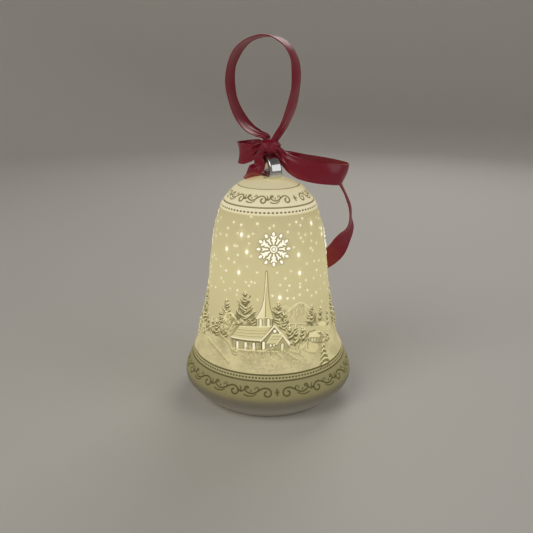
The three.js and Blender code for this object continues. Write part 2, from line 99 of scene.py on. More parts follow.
TREES = {
    't1': (-20.87, 62.28, -20.05, 50.05, 5.0),
    't1b': (-13.26, 53.75, -13.47, 46.57, 3.0),
    't2': (-40.02, 57.15, -38.08, 45.42, 3.9),
    't2b': (-46.89, 50.32, -43.36, 39.05, 3.2),
    't2c': (-27.23, 52.76, -27.1, 46.13, 3.1),
    't3': (-68.22, 45.52, -62.37, 37.93, 2.5),
    't3b': (-57.23, 45.41, -53.58, 38.45, 2.2),
    't3c': (-80.09, 39.25, -68.89, 34.53, 1.9),
    't4': (8.78, 57.96, 8.78, 48.54, 3.9),
    't4b': (13.36, 53.11, 13.98, 45.33, 2.8),
    't5': (42.05, 54.04, 40.27, 45.03, 3.2),
    't6': (53.71, 51.64, 51.12, 43.57, 2.6),
    't6b': (65.17, 47.64, 62.95, 40.95, 2.2),
    'hedge1': (17.96, 46.86, 17.9, 39.67, 2.5),
    'hedge2': (23.58, 46.12, 22.63, 37.46, 2.4),
    'hedge3': (30.04, 44.54, 28.98, 37.36, 2.1),
    't7': (60.22, 38.28, 57.12, 33.84, 2.0),
    't8': (31.83, 43.71, 31.74, 39.46, 1.8),
    'fir': (51.74, 36.51, 45.55, 24.02, 3.4),
    'low1': (-42.27, 44.19, -40.25, 38.3, 2.8),
    'low2': (-50.95, 45.28, -48.79, 38.1, 2.1),
}

# ---------------------------------------------------------------- helpers
def lin(c):
    c = np.asarray(c, float)
    return np.where(c <= 0.04045, c / 12.92, ((c + 0.055) / 1.055) ** 2.4)


def material(name, color, rough=0.5, metal=0.0, **kw):
    m = bpy.data.materials.new(name)
    m.use_nodes = True
    b = m.node_tree.nodes["Principled BSDF"]
    c = lin(np.array(color) / 255.0)
    b.inputs["Base Color"].default_value = (c[0], c[1], c[2], 1)
    b.inputs["Roughness"].default_value = rough
    b.inputs["Metallic"].default_value = metal
    for k, v in kw.items():
        b.inputs[k.replace("_", " ")].default_value = v
    return m


def obj_from(name, verts, faces, mat, smooth=True, sharp=None):
    me = bpy.data.meshes.new(name)
    me.from_pydata([tuple(v) for v in np.asarray(verts, float)], [], [tuple(f) for f in faces])
    me.update()
    o = bpy.data.objects.new(name, me)
    bpy.context.scene.collection.objects.link(o)
    o.data.materials.append(mat)
    me.polygons.foreach_set("use_smooth", [smooth] * len(me.polygons))
    if sharp is not None:
        me.set_sharp_from_angle(angle=math.radians(sharp))
    return o


def grid_mesh(name, P, mat, wrap_u=True, wrap_v=True, uv=None, flip=False):
    """P[v, u, 3] becomes a mesh of quads, closed round where wrap says so."""
    nv, nu = P.shape[:2]
    iu = np.arange(nu if wrap_u else nu - 1)
    iv = np.arange(nv if wrap_v else nv - 1)
    V, U = np.meshgrid(iv, iu, indexing="ij")
    V2, U2 = (V + 1) % nv, (U + 1) % nu
    q = np.stack([V * nu + U, V * nu + U2, V2 * nu + U2, V2 * nu + U], -1).reshape(-1, 4)
    if flip:
        q = q[:, ::-1]
    n = len(q)
    me = bpy.data.meshes.new(name)
    me.vertices.add(nv * nu)
    me.vertices.foreach_set("co", np.ascontiguousarray(P, np.float32).ravel())
    me.loops.add(4 * n)
    me.loops.foreach_set("vertex_index", q.astype(np.int32).ravel())
    me.polygons.add(n)
    me.polygons.foreach_set("loop_start", np.arange(0, 4 * n, 4, dtype=np.int32))
    me.polygons.foreach_set("use_smooth", np.ones(n, bool))
    me.update(calc_edges=True)
    if uv is not None:
        fu, fv = uv
        lay = me.uv_layers.new(name="OFBake")
        uu = np.stack([U, U + 1, U + 1, U], -1).reshape(-1, 4)
        vv = np.stack([V, V, V + 1, V + 1], -1).reshape(-1, 4)
        if flip:
            uu, vv = uu[:, ::-1], vv[:, ::-1]
        co = np.stack([np.asarray(fu)[uu], np.asarray(fv)[vv]], -1)
        lay.data.foreach_set("uv", co.astype(np.float32).ravel())
    me.validate()
    o = bpy.data.objects.new(name, me)
    bpy.context.scene.collection.objects.link(o)
    me.materials.append(mat)
    return o


def catmull(P, n_per):
    """Centripetal Catmull-Rom through P, n_per points to a span."""
    P = np.asarray(P, float)
    Q = np.vstack([2 * P[0] - P[1], P, 2 * P[-1] - P[-2]])
    out = []
    for i in range(1, len(Q) - 2):
        p0, p1, p2, p3 = Q[i - 1:i + 3]
        d = [max(np.linalg.norm(b - a), 1e-9) ** 0.5 for a, b in ((p0, p1), (p1, p2), (p2, p3))]
        t0, t1 = 0.0, d[0]
        t2, t3 = d[0] + d[1], d[0] + d[1] + d[2]
        t = np.linspace(t1, t2, n_per, endpoint=False)[:, None]
        a1 = (t1 - t) / (t1 - t0) * p0 + (t - t0) / (t1 - t0) * p1
        a2 = (t2 - t) / (t2 - t1) * p1 + (t - t1) / (t2 - t1) * p2
        a3 = (t3 - t) / (t3 - t2) * p2 + (t - t2) / (t3 - t2) * p3
        b1 = (t2 - t) / (t2 - t0) * a1 + (t - t0) / (t2 - t0) * a2
        b2 = (t3 - t) / (t3 - t1) * a2 + (t - t1) / (t3 - t1) * a3
        out.append((t2 - t) / (t2 - t1) * b1 + (t - t1) / (t2 - t1) * b2)
    return np.vstack(out + [P[-1:]])


def resample(P, step=None, n=None):
    d = np.r_[0, np.cumsum(np.linalg.norm(np.diff(P, axis=0), axis=1))]
    n = n or max(2, int(round(d[-1] / step)) + 1)
    s = np.linspace(0, d[-1], n)
    return np.stack([np.interp(s, d, P[:, k]) for k in range(P.shape[1])], 1)


# ---------------------------------------------------------------- the wall's grid
OUTER = [(2.8, 111.25), (6.0, 110.95), (9.5, 110.3), (12.4, 109.35), (14.35, 108.5), (15.3, 107.85), (17.4, 106.2),
         (19.5, 104.1), (21.3, 101.75), (22.45, 100.2), (23.7, 97.7), (25.1, 93.6), (26.7, 87.8), (28.1, 78.9),
         (29.3, 70.2), (30.1, 61.8), (31.15, 52.8), (32.35, 44.3), (33.45, 37.4), (34.4, 33.6), (35.75, 29.6),
         (37.85, 25.1), (39.4, 22.05), (41.4, 18.0), (42.5, 15.0), (43.0, 12.2), (42.7, 10.0), (41.5, 7.9),
         (39.2, 5.6), (36.9, 3.5), (34.8, 1.3), (33.6, 0.0)]
INNER = [(33.6, 0.0), (32.5, 0.0), (31.4, 0.0), (31.4, 1.1), (31.4, 2.2), (30.6, 2.2), (29.8, 2.2), (29.8, 4.1), (29.8, 6.0),
         (33.6, 6.9), (37.5, 9.5), (39.8, 12.0), (40.0, 14.2), (38.9, 17.6), (36.2, 23.2), (33.4, 29.0), (31.8, 33.6),
         (30.4, 40.0), (28.4, 54.0), (27.0, 67.6), (24.9, 83.4), (22.9, 92.4), (20.6, 98.0), (17.6, 102.0),
         (13.4, 105.4), (8.0, 107.8), (2.8, 108.6), (2.8, 110.0)]
K = 1.0
outer = catmull(OUTER, 24)
arc = np.r_[0, np.cumsum(np.linalg.norm(np.diff(outer, axis=0), axis=1))]
sa, sb = (float(np.interp(-z, -outer[:, 1], arc)) for z in (74.0, 12.0))
pick = np.r_[np.arange(0, sa, 0.27 * K), np.arange(sa, sb, 0.205 * K), np.arange(sb, arc[-1], 0.32 * K)[:-1], arc[-1]]
outer = np.stack([np.interp(pick, arc, outer[:, k]) for k in (0, 1)], 1)
NR = len(outer)
S = np.r_[0, np.cumsum(np.linalg.norm(np.diff(outer, axis=0), axis=1))]
ZR, RR = outer[:, 1], outer[:, 0]
a_front, a_step, b_step = 84.0, 0.33 * K, 0.56 * K
nf = int(round(2 * a_front / a_step))
nb = int(round((360 - 2 * a_front) / b_step))
TH = np.r_[np.linspace(-a_front, a_front, nf, endpoint=False), np.linspace(a_front, 360 - a_front, nb, endpoint=False)]
NC = len(TH)
# the columns in rising order from -180, for the carving
order = np.argsort(((TH + 180) % 360))
TS = ((TH + 180) % 360 - 180)[order]
# L: the painted glow, how bright each point looks with the light inside shining through, drawn per point as thin
# porcelain (bright) and thick porcelain (dark) would look, not worked out from the wall's thickness. H: the carved
# height in mm
L = np.zeros((NR, NC))
H = np.zeros((NR, NC))


def s_of(z):
    return float(np.interp(z, ZR[::-1], S[::-1]))


def rows(s0, s1):
    return slice(int(np.searchsorted(S, s0)), int(np.searchsorted(S, s1)))


def window(s0, s1, t0, t1):
    return rows(s0, s1), slice(int(np.searchsorted(TS, t0)), int(np.searchsorted(TS, t1)))


def pts_of(pts):
    return np.array([(p[0], s_of(p[1])) for p in pts], float)


def blend(win, c, lum=None, high=None, raise_by=None):
    if lum is not None:
        L[win] += (lum - L[win]) * c
    if high is not None:
        H[win] += (high - H[win]) * c
    if raise_by is not None:
        H[win] += raise_by * c


def seg_dist(X, Y, ax, ay, bx, by):
    dx, dy = bx - ax, by - ay
    q = np.maximum(dx * dx + dy * dy, 1e-12)
    t = np.clip(((X - ax) * dx + (Y - ay) * dy) / q, 0, 1)
    return np.hypot(X - ax - t * dx, Y - ay - t * dy), t


def stroke_s(P, w, lum=None, high=None, raise_by=None, w1=None, soft=0.22, alpha=1.0):
    """A line through P (degrees, arc length mm), w wide, tapering to w1."""
    w1 = w if w1 is None else w1
    m = max(w, w1) / 2 + soft + 0.2
    s0, s1 = P[:, 1].min() - m, P[:, 1].max() + m
    k = rows(s0, s1)
    if k.stop <= k.start:
        return
    rmin = max(RR[k].min(), 3.0)
    md = math.degrees(m / rmin)
    win = window(s0, s1, P[:, 0].min() - md, P[:, 0].max() + md)
    r = RR[win[0]][:, None]
    t = TS[win[1]][None, :]
    Y = np.broadcast_to(S[win[0]][:, None], (r.shape[0], t.shape[1]))
    c = np.zeros(Y.shape)
    n = len(P) - 1
    for i in range(n):
        ax = np.radians(P[i, 0]) * r
        bx = np.radians(P[i + 1, 0]) * r
        d, u = seg_dist(np.radians(t) * r, Y, ax, P[i, 1], bx, P[i + 1, 1])
        half = (w + (w1 - w) * (i + u) / n) / 2
        c = np.maximum(c, np.clip((half + soft / 2 - d) / soft, 0, 1))
    blend(win, c * alpha, lum, high, raise_by)


def stroke(pts, w, smooth=0, **kw):
    P = pts_of(pts)
    if smooth and len(P) > 2:
        P = catmull(P, smooth)
    stroke_s(P, w, **kw)


def fill(pts, lum=None, high=None, raise_by=None, grow=0.0, soft=0.25, alpha=1.0, smooth=0, s_space=False):
    P = np.array(pts, float) if s_space else pts_of(pts)
    if smooth:
        P = catmull(np.vstack([P, P[:1]]), smooth)[:-1]
    m = grow + soft + 0.3
    s0, s1 = P[:, 1].min() - m, P[:, 1].max() + m
    k = rows(s0, s1)
    md = math.degrees(m / max(RR[k].min(), 3.0))
    win = window(s0, s1, P[:, 0].min() - md, P[:, 0].max() + md)
    r = RR[win[0]][:, None]
    X = np.radians(TS[win[1]][None, :]) * r
    Y = np.broadcast_to(S[win[0]][:, None], X.shape)
    inside = np.zeros(X.shape, bool)
    dist = np.full(X.shape, 1e9)
    for i in range(len(P)):
        a, b = P[i], P[(i + 1) % len(P)]
        ax, bx = np.radians(a[0]) * r, np.radians(b[0]) * r
        d, _ = seg_dist(X, Y, ax, a[1], bx, b[1])
        dist = np.minimum(dist, d)
        cond = (a[1] > Y) != (b[1] > Y)
        xi = ax + (Y - a[1]) * (bx - ax) / (b[1] - a[1] if b[1] != a[1] else 1e-9)
        inside ^= cond & (X < xi)
    sd = np.where(inside, dist, -dist) + grow
    c = np.clip(sd / soft + 0.5, 0, 1)
    blend(win, c * alpha, lum, high, raise_by)


def blob(th, s, rx, ry, lum=None, high=None, raise_by=None, soft=0.25, alpha=1.0, turn=0.0, dome=False):
    m = max(rx, ry) + soft + 0.2
    k = rows(s - m, s + m)
    if k.stop <= k.start:
        return
    md = math.degrees(m / max(RR[k].min(), 3.0))
    win = window(s - m, s + m, th - md, th + md)
    X = np.radians(TS[win[1]][None, :] - th) * RR[win[0]][:, None]
    Y = np.broadcast_to(S[win[0]][:, None] - s, X.shape)
    ca, sa = math.cos(turn), math.sin(turn)
    u, v = (X * ca + Y * sa) / rx, (-X * sa + Y * ca) / ry
    q = np.sqrt(u * u + v * v)
    c = np.clip((1 - q) * min(rx, ry) / soft + 0.5, 0, 1)
    if dome:
        c = c * np.clip(1.15 - 0.5 * q * q, 0, 1)
    blend(win, c * alpha, lum, high, raise_by)


def noise(freq_t, freq_s, seed, n=7):
    g = np.random.default_rng(seed)
    out = np.zeros((NR, NC))
    for _ in range(n):
        kt = max(1, int(round(freq_t * g.uniform(0.5, 1.5))))
        ks = freq_s * g.uniform(-1.3, 1.3)
        out += np.sin(kt * np.radians(TS)[None, :] + ks * S[:, None] + g.uniform(0, TAU))
    return out / n ** 0.5


# ---------------------------------------------------------------- painted glow of the plain wall by height, with painted shade darkening it towards the lip where the light unit sits
zk = [0, 3.5, 5, 8.6, 10.7, 12.4, 13.8, 15, 18, 20, 21.8, 22.1, 24.5, 24.9, 29, 34, 40, 50, 58, 68, 75, 88, 97.4, 97.9, 100.6, 104.5, 108, 108.4, 111.3]
lk = [.05, .06, .08, .19, .27, .33, .40, .44, .455, .465, .475, .555, .57, .64, .65, .66, .68, .70, .715, .725, .72, .695, .665, .825, .825, .785, .775, .725, .735]
L[:] = np.interp(ZR, zk, lk)[:, None]
Zc = np.broadcast_to(ZR[:, None], L.shape)
# the raised dotted band and the flatter cap stand a little proud of the field
H += 0.22 * np.clip((Zc - 97.55) / 0.3, 0, 1)
grain = noise(150, 5.5, 1) * 0.5 + noise(60, 2.4, 2) * 0.5
L += 0.006 * grain
H += 0.010 * grain


# ---------------------------------------------------------------- hills and ground
ridge = 44.0 + 3.0 * np.sin(np.radians(TS) * 3 + 0.6) + 2.0 * np.sin(np.radians(TS) * 5 + 2.0)
inside_front = np.clip((78 - np.abs(TS)) / 12, 0, 1)
ridge = ridge * (1 - inside_front) + 39.0 * inside_front
g = np.clip((ridge[None, :] - Zc) / 0.5, 0, 1) * np.clip((Zc - 24.7) / 0.3, 0, 1)
soft_hills = noise(9, 0.32, 5) * 0.5 + noise(16, 0.6, 6) * 0.35
L += g * (0.68 + 0.055 * soft_hills - L)
H += g * (0.35 + 0.10 * soft_hills)
# sparkling texture low in the middle of the snow
sp = np.clip(1 - ((TS[None, :] - 2) / 34) ** 2, 0, 1) * np.clip(1 - ((Zc - 31.5) / 5.5) ** 2, 0, 1)
tex = noise(230, 7.5, 9, 9)
L += -0.045 * sp * np.clip(tex, -1, 1.5)
H += 0.03 * sp * tex
stroke([(a, 39.0 + 3.2 * math.sin(math.radians(a) * 3 + 0.6)) for a in range(-180, -76, 4)], 0.5, lum=0.5, alpha=0.6)


# ---------------------------------------------------------------- trees
def fir(a0, z0, a1, z1, w, seed, up=True, snow=0.87, dark=0.33, dense=1.0):
    """A fir carved as crossing boughs, each a snowy stroke above a dark stroke of painted shade: tip (a0, z0), foot
    (a1, z1), half width w mm.
    """
    g = np.random.default_rng(seed)
    s0, s1 = s_of(z0), s_of(z1)
    r = float(np.interp(0.5 * (s0 + s1), S, RR))
    deg = math.degrees(1 / r)
    h = s1 - s0
    w = w * 1.18
    tri = [(a0, s0 - 0.2), (a1 + w * 0.9 * deg, s1), (a1 - w * 0.9 * deg, s1)]
    fill(tri, lum=0.47, raise_by=0.25, soft=1.1, s_space=True, alpha=0.85)
    n = max(5, int(h / 1.12 * dense))
    boughs = []
    for i in range(n):
        t = (i + 0.4 + g.uniform(-0.3, 0.3)) / n
        for side in (-1, 1):
            tt = np.clip(t + g.uniform(-0.4, 0.4) / n, 0.02, 1)
            ac = a0 + (a1 - a0) * tt + g.uniform(-0.25, 0.25) * deg
            sc = s0 + h * tt
            hw = w * (0.12 + 0.88 * tt ** 0.9) * g.uniform(0.62, 1.18)
            rise = hw * g.uniform(0.35, 0.95)
            drop = hw * 0.30
            p0 = (ac, sc + drop)
            p1 = (ac + side * hw * g.uniform(0.42, 0.6) * deg, sc + drop - rise * g.uniform(0.30, 0.5))
            p2 = (ac + side * hw * deg, sc + drop - rise)
            boughs.append((np.array([p0, p1, p2]), hw, side))
    g.shuffle(boughs)
    for P, hw, side in boughs:
        # painted shade: a dark stroke under each bough, its snow drawn 0.55 mm higher
        stroke_s(P, 0.95, lum=dark, w1=0.4, raise_by=-0.12, alpha=0.92, soft=0.28)
        Q = P.copy()
        Q[:, 1] -= 0.55
        wd = g.uniform(0.42, 0.72)
        stroke_s(Q, wd, lum=snow * g.uniform(0.93, 1.03), w1=0.3, raise_by=0.25, alpha=0.95)
        if hw > 1.6:
            for _ in range(2):
                m = Q[0] + (Q[2] - Q[0]) * g.uniform(0.3, 0.95)
                d = np.array([side * g.uniform(-0.1, 0.8) * deg, -g.uniform(0.6, 1.3)])
                stroke_s(np.array([m, m + d]), 0.6, lum=dark, w1=0.3, alpha=0.6)
                stroke_s(np.array([m + (0, -0.15), m + d + (0.12 * deg * side, -0.2)]), 0.36, lum=snow, w1=0.22, raise_by=0.1, alpha=0.85)
    stroke_s(np.array([(a0, s0 - 0.6), (a0, s0 + 1.0)]), 0.35, lum=snow, w1=0.5)


def snowy_fir(a0, z0, a1, z1, w, seed, tiers=6):
    """A fir under thick snow: stacked bright caps with dark gaps of painted shade under them."""
    s0, s1 = s_of(z0), s_of(z1)
    r = float(np.interp(0.5 * (s0 + s1), S, RR))
    deg = math.degrees(1 / r)
    fill([(a0, s0 - 0.3), (a1 + w * deg, s1), (a1 - w * deg, s1)], lum=0.44, raise_by=0.35, soft=0.5, s_space=True)
    for i in range(tiers):
        t = (i + 0.75) / tiers
        ac, sc, hw = a0 + (a1 - a0) * t, s0 + (s1 - s0) * t, w * t
        for side in (-1, 1):
            P = np.array([(ac, sc - 0.95), (ac + side * 0.5 * hw * deg, sc - 0.55), (ac + side * hw * deg, sc + 0.25)])
            # painted shade just under each cap
            stroke_s(P + [0, 0.75], 0.6, lum=0.38, w1=0.3, raise_by=-0.1)
            stroke_s(P, 0.95, lum=0.80, w1=0.45, raise_by=0.3)


def bushes(a, z, r_mm, seed, n=26):
    g = np.random.default_rng(seed)
    s = s_of(z)
    deg = math.degrees(1 / float(np.interp(s, S, RR)))
    blob(a, s, r_mm, r_mm, lum=0.60, raise_by=0.3, soft=1.2)
    for _ in range(n * 2):
        q, ang = r_mm * g.uniform(0, 0.95) ** 0.6, g.uniform(0, TAU)
        x, y = q * math.cos(ang), q * math.sin(ang)
        P = np.array([(a + x * deg, s + y), (a + (x + g.uniform(-1.1, 1.1)) * deg, s + y - g.uniform(0.3, 1.1))])
        stroke_s(P, 0.5, lum=g.choice([0.40, 0.80, 0.84]), w1=0.25, raise_by=0.1, alpha=0.9)


# far mountains
V = VILLAGE
fill(V["mount"], lum=0.70, raise_by=0.2, soft=0.5)
stroke(V["mount_top"], 0.55, lum=0.84, smooth=6, raise_by=0.15)
stroke(V["mount2"], 0.5, lum=0.80, smooth=6, raise_by=0.1)
for k in ("mline1", "mline2", "mline3"):
    stroke(V[k], 0.45, lum=0.82, smooth=4, alpha=0.7, raise_by=0.08)
    stroke([(a + 1.4, z - 0.5) for a, z in V[k]], 0.5, lum=0.60, smooth=4, alpha=0.6)
for a0, a1, zb, hh in ((84, 112, 52, 9), (104, 134, 50, 12), (150, 178, 50, 10), (-176, -150, 52, 12), (-140, -112, 49, 10)):
    pk = [(a0, zb - 6), (a0 + 0.28 * (a1 - a0), zb + hh * 0.45), (0.5 * (a0 + a1), zb + hh), (a0 + 0.7 * (a1 - a0), zb + hh * 0.5), (a1, zb - 6)]
    fill(pk, lum=0.69, raise_by=0.18, soft=0.5)
    stroke(pk[1:4], 0.55, lum=0.83, raise_by=0.12)
    stroke([(0.5 * (a0 + a1), zb + hh - 0.6), (0.5 * (a0 + a1) - 1.5, zb + hh * 0.55), (0.5 * (a0 + a1) + 1, zb + 1)], 0.5, lum=0.6, alpha=0.7)
gm = np.random.default_rng(61)
mt = V["mount_top"]
for i in range(70):
    u = gm.uniform(0, len(mt) - 1.001)
    k = int(u)
    a = mt[k][0] + (mt[k + 1][0] - mt[k][0]) * (u - k)
    z = mt[k][1] + (mt[k + 1][1] - mt[k][1]) * (u - k) - gm.uniform(0.6, 8) * gm.random()
    ln0 = gm.uniform(0.8, 2.4)
    stroke([(a, z), (a + gm.uniform(-1.6, 1.6), z - ln0)], gm.uniform(0.3, 0.5), w1=0.2, lum=gm.choice([0.56, 0.60, 0.80, 0.84]), alpha=0.7, raise_by=0.05)
# far shore
shore = [V["horizon"][0]] + list(V["horizon"][1:])
fill(shore + [(shore[-1][0], 38.5), (shore[0][0], 38.5)], lum=0.71, raise_by=0.12, soft=0.4)
stroke(shore, 0.5, lum=0.55, smooth=4, alpha=0.8)
stroke([(a, z + 0.5) for a, z in shore], 0.35, lum=0.82, smooth=4)
for i in range(26):
    a = rng.uniform(shore[0][0], shore[-1][0])
    z = rng.uniform(39.5, 43.2)
    stroke([(a, z), (a + rng.uniform(-0.8, 0.8), z - rng.uniform(0.8, 2.2))], 0.35, lum=rng.choice([0.55, 0.82]), alpha=0.8)

# trees behind the church and along both sides
T = TREES
for i, k in enumerate(("t3c", "t3", "t3b", "t2c", "t2", "t1b", "t1", "t6b", "t6", "t5", "t8", "t7", "t4", "t4b", "t2b", "low2", "low1")):
    if k in T:
        fir(*T[k], seed=100 + i)
for i, k in enumerate(("hedge3", "hedge2", "hedge1")):
    if k in T:
        fir(*T[k], seed=140 + i, dense=1.3)
a, z = V["round"][0]
bushes(a, z, 4.3, 7, 34)
stroke([(a - 6.0, z + 0.5), (a - 3.5, z + 3.6), (a + 1.5, z + 4.6), (a + 6.5, z + 2.6)], 0.6, lum=0.84, smooth=5, raise_by=0.2)
fill(V["mound"], lum=0.80, raise_by=0.25, soft=0.4, smooth=4)

# the wood and cottages round the sides and back
g = np.random.default_rng(77)
for i in range(34):
    a = g.uniform(-180, -72) if i % 2 else g.uniform(76, 180)
    zb = g.uniform(36, 44)
    hh = g.uniform(9, 20)
    if i % 5 == 4:
        snowy_fir(a, zb + hh * 0.55 - 4, a + g.uniform(-1, 1), zb - 7, hh * 0.24, 500 + i, tiers=5)
    else:
        fir(a, zb + hh, a + g.uniform(-1, 1), zb - 1, hh * 0.27, 500 + i)


def cottage(a, z, k=1.0):
    """A snow-roofed cottage, k times 9 mm wide, its wall's foot at (a, z)."""
    d = k * 57.3 / 33.0
    fill([(a - 5 * d, z + 3 * k), (a + 2.5 * d, z + 3 * k), (a + 2.5 * d, z), (a - 5 * d, z)], lum=0.60, raise_by=0.3)
    fill([(a + 2.5 * d, z + 3 * k), (a + 4 * d, z + 6.2 * k), (a + 5.6 * d, z + 3 * k), (a + 5.6 * d, z), (a + 2.5 * d, z)], lum=0.54, raise_by=0.3)
    fill([(a - 5.6 * d, z + 3 * k), (a - 4.2 * d, z + 6.2 * k), (a + 4.0 * d, z + 6.2 * k), (a + 2.4 * d, z + 3 * k)], lum=0.78, raise_by=0.45)
    stroke([(a - 5.7 * d, z + 2.9 * k), (a + 2.4 * d, z + 2.9 * k), (a + 4 * d, z + 6.3 * k), (a + 6.0 * d, z + 2.7 * k)], 0.6, lum=0.86, raise_by=0.2)
    stroke([(a - 5.2 * d, z + 2.3 * k), (a + 2.4 * d, z + 2.3 * k)], 0.4, lum=0.38)
    for da in (-3.4, -1.2, 0.9, 4.0):
        stroke([(a + da * d, z + 0.8 * k), (a + da * d, z + 1.7 * k)], 0.95 * k, lum=0.38)
        stroke([(a + da * d, z + 0.8 * k), (a + da * d, z + 1.7 * k)], 0.6 * k, lum=0.93)
    stroke([(a - 2.6 * d, z + 6.0 * k), (a - 2.6 * d, z + 7.6 * k)], 1.1 * k, lum=0.55, raise_by=0.2)
    stroke([(a - 3.1 * d, z + 7.8 * k), (a - 2.1 * d, z + 7.8 * k)], 0.5, lum=0.86)


for a, z, k in ((102, 33.5, 1.0), (148, 31.5, 1.15), (-158, 33, 1.1), (-118, 32, 1.0), (178 - 8, 36, 0.7)):
    cottage(a, z, k)
for a0, z0, a1 in ((92, 29.5, 134), (140, 28.5, 176), (-176, 29, -138), (-132, 28.5, -84)):
    m = 0.5 * (a0 + a1)
    stroke([(a0, z0), (m - 6, z0 + 1.6), (m + 7, z0 - 0.8), (a1, z0 + 1.2)], 0.7, lum=0.58, smooth=8, alpha=0.55, soft=0.6)
    stroke([(a0, z0 + 0.7), (m - 6, z0 + 2.3), (m + 7, z0 - 0.1), (a1, z0 + 1.9)], 0.5, lum=0.78, smooth=8, alpha=0.6, soft=0.5)

# ---------------------------------------------------------------- church
# painted shadow: a soft darker halo round the church's walls and roof
for P_ in (V["wall"], V["gable"]):
    fill([(a, z - 0.2) for a, z in P_], lum=0.52, grow=1.3, soft=1.8, alpha=0.65)
fill(V["roof"], lum=0.46, grow=0.9, soft=1.2, alpha=0.7)
DK, MID, SNOW, LIT = 0.36, 0.50, 0.85, 0.95
for k in ("belfry_l", "belfry_r", "roof", "wall", "gable"):
    fill(V[k], lum=DK, grow=0.38, soft=0.25)
for k in ("steeple_l", "steeple_r"):
    fill(V[k], lum=0.40, grow=0.48, soft=0.35)
# painted light and shade: the steeple's left face lighter than its right
fill(V["steeple_l"], lum=0.86, raise_by=0.55, grow=0.20)
fill(V["steeple_r"], lum=0.76, raise_by=0.45, grow=0.20)
stroke(V["ridge"][1:], 0.15, w1=0.5, lum=0.50, alpha=0.9)
sr = V["steeple_r"]
for q in (0.25, 0.5, 0.75):
    stroke([(sl0[0] + (c0[0] - sl0[0]) * q, sl0[1] + (c0[1] - sl0[1]) * q) for sl0, c0 in zip([V["steeple_l"][i] for i in (5, 4, 3)], [V["steeple_l"][6]] * 3)], 0.25, lum=0.72, alpha=0.5)
sl = V["steeple_l"]
stroke(sl[:6], 0.35, w1=0.4, lum=0.92, raise_by=0.1, alpha=0.8)
stroke([sl[5], sl[6], V["steeple_r"][4]], 0.45, lum=SNOW, raise_by=0.15)
# painted shade under the steeple's foot
stroke([(p[0], p[1] - 0.6) for p in (sl[5], sl[6], V["steeple_r"][4])], 0.4, lum=DK, alpha=0.8)
# painted light and shade: the belfry's left face lighter than its right
fill(V["belfry_l"], lum=0.70, raise_by=0.45)
fill(V["belfry_r"], lum=0.62, raise_by=0.4)
for k in ("bwin_l", "bwin_r"):
    stroke(V[k], 1.75, lum=DK, raise_by=-0.1)
    stroke(V[k], 1.15, lum=0.90, raise_by=-0.05)
fill(V["wall"], lum=0.60, raise_by=0.45)
for i in range(9):
    t = (i + 0.5) / 9
    p, q = V["wall"][0], V["wall"][1]
    a = p[0] + (q[0] - p[0]) * t
    z = p[1] + (q[1] - p[1]) * t
    stroke([(a, z - 0.6), (a, z - 4.0)], 0.35, lum=rng.choice([0.42, 0.62]), alpha=0.8)
fill(V["gable"], lum=0.56, raise_by=0.5)
fill(V["roof"], lum=0.74, raise_by=0.75)
for k in ("plank1", "plank2", "plank3"):
    stroke(V[k], 0.30, lum=0.52, raise_by=-0.1, alpha=0.9)
    stroke([(a, z + 0.35) for a, z in V[k]], 0.25, lum=0.82, alpha=0.8)
# painted shade: a dark stroke just under the eave
stroke([(a, z - 0.75) for a, z in V["eave"]], 0.75, lum=DK)
stroke(V["eave"], 0.85, lum=0.88, raise_by=0.3)
stroke([V["roof"][0], V["roof"][2]], 0.35, lum=0.86, raise_by=0.1)
stroke([V["roof"][4], V["roof"][0]], 0.3, lum=0.84)
# painted shade: dark strokes just under the bargeboards
stroke([(a, z - 0.8) for a, z in V["barge_l"]], 0.7, lum=DK, alpha=0.9)
stroke([(a, z - 0.8) for a, z in V["barge_r"]], 0.7, lum=DK, alpha=0.9)
stroke(V["barge_l"], 0.85, lum=0.88, raise_by=0.4)
stroke(V["barge_r"], 0.85, lum=0.88, raise_by=0.4)
for w in V["nwins"]:
    stroke(w, 1.75, lum=0.38, raise_by=-0.1)
    stroke(w, 1.15, lum=0.93, raise_by=-0.05)
a, z = V["gwin"][0]
blob(a, s_of(z), 1.15, 1.15, lum=DK)
blob(a, s_of(z), 0.78, 0.78, lum=0.95)
fill(V["porch_wall"], lum=0.60, raise_by=0.3)
fill(V["porch_roof"], lum=0.74, raise_by=0.35, grow=0.1)
for k in ("prl1", "prl2"):
    stroke(V[k], 0.3, lum=0.55, alpha=0.8)
stroke([V["porch_roof"][3], V["porch_roof"][0], V["porch_roof"][1]], 0.4, lum=0.84)
# painted shade: dark strokes just under the porch roof's edges
stroke([(a, z - 0.6) for a, z in V["porch_r"]], 0.55, lum=DK, alpha=0.85)
stroke([(a, z - 0.6) for a, z in V["porch_l"]], 0.5, lum=DK, alpha=0.85)
stroke(V["porch_l"], 0.6, lum=0.86, raise_by=0.3)
stroke(V["porch_r"], 0.7, lum=0.88, raise_by=0.3)
stroke(V["pdoor"], 1.8, lum=DK)
stroke(V["pdoor"], 1.25, lum=0.86, raise_by=-0.1)
for w in V["pwin"]:
    stroke(w, 1.3, lum=DK)
    stroke(w, 0.85, lum=0.93)
stroke([(V["wall"][3][0], V["wall"][3][1] - 0.3), (V["wall"][2][0], V["wall"][2][1] - 0.3), (V["gable"][3][0], V["gable"][3][1] - 0.6)],
       0.7, lum=0.82, raise_by=0.2, smooth=4)

# small house on the right
for k in ("shouse_roof", "shouse_wall", "shouse_gable"):
    fill(V[k], lum=DK, grow=0.35)
fill(V["shouse_wall"], lum=0.60, raise_by=0.3)
fill(V["shouse_gable"], lum=0.54, raise_by=0.3)
fill(V["shouse_roof"], lum=0.80, raise_by=0.5)
stroke(V["srl"], 0.5, lum=0.85, raise_by=0.2)
for w in V["swins"]:
    stroke(w, 1.0, lum=DK)
    stroke(w, 0.65, lum=0.93)
a, z = V["bush"][0]
bushes(a, z, 1.6, 9, 12)

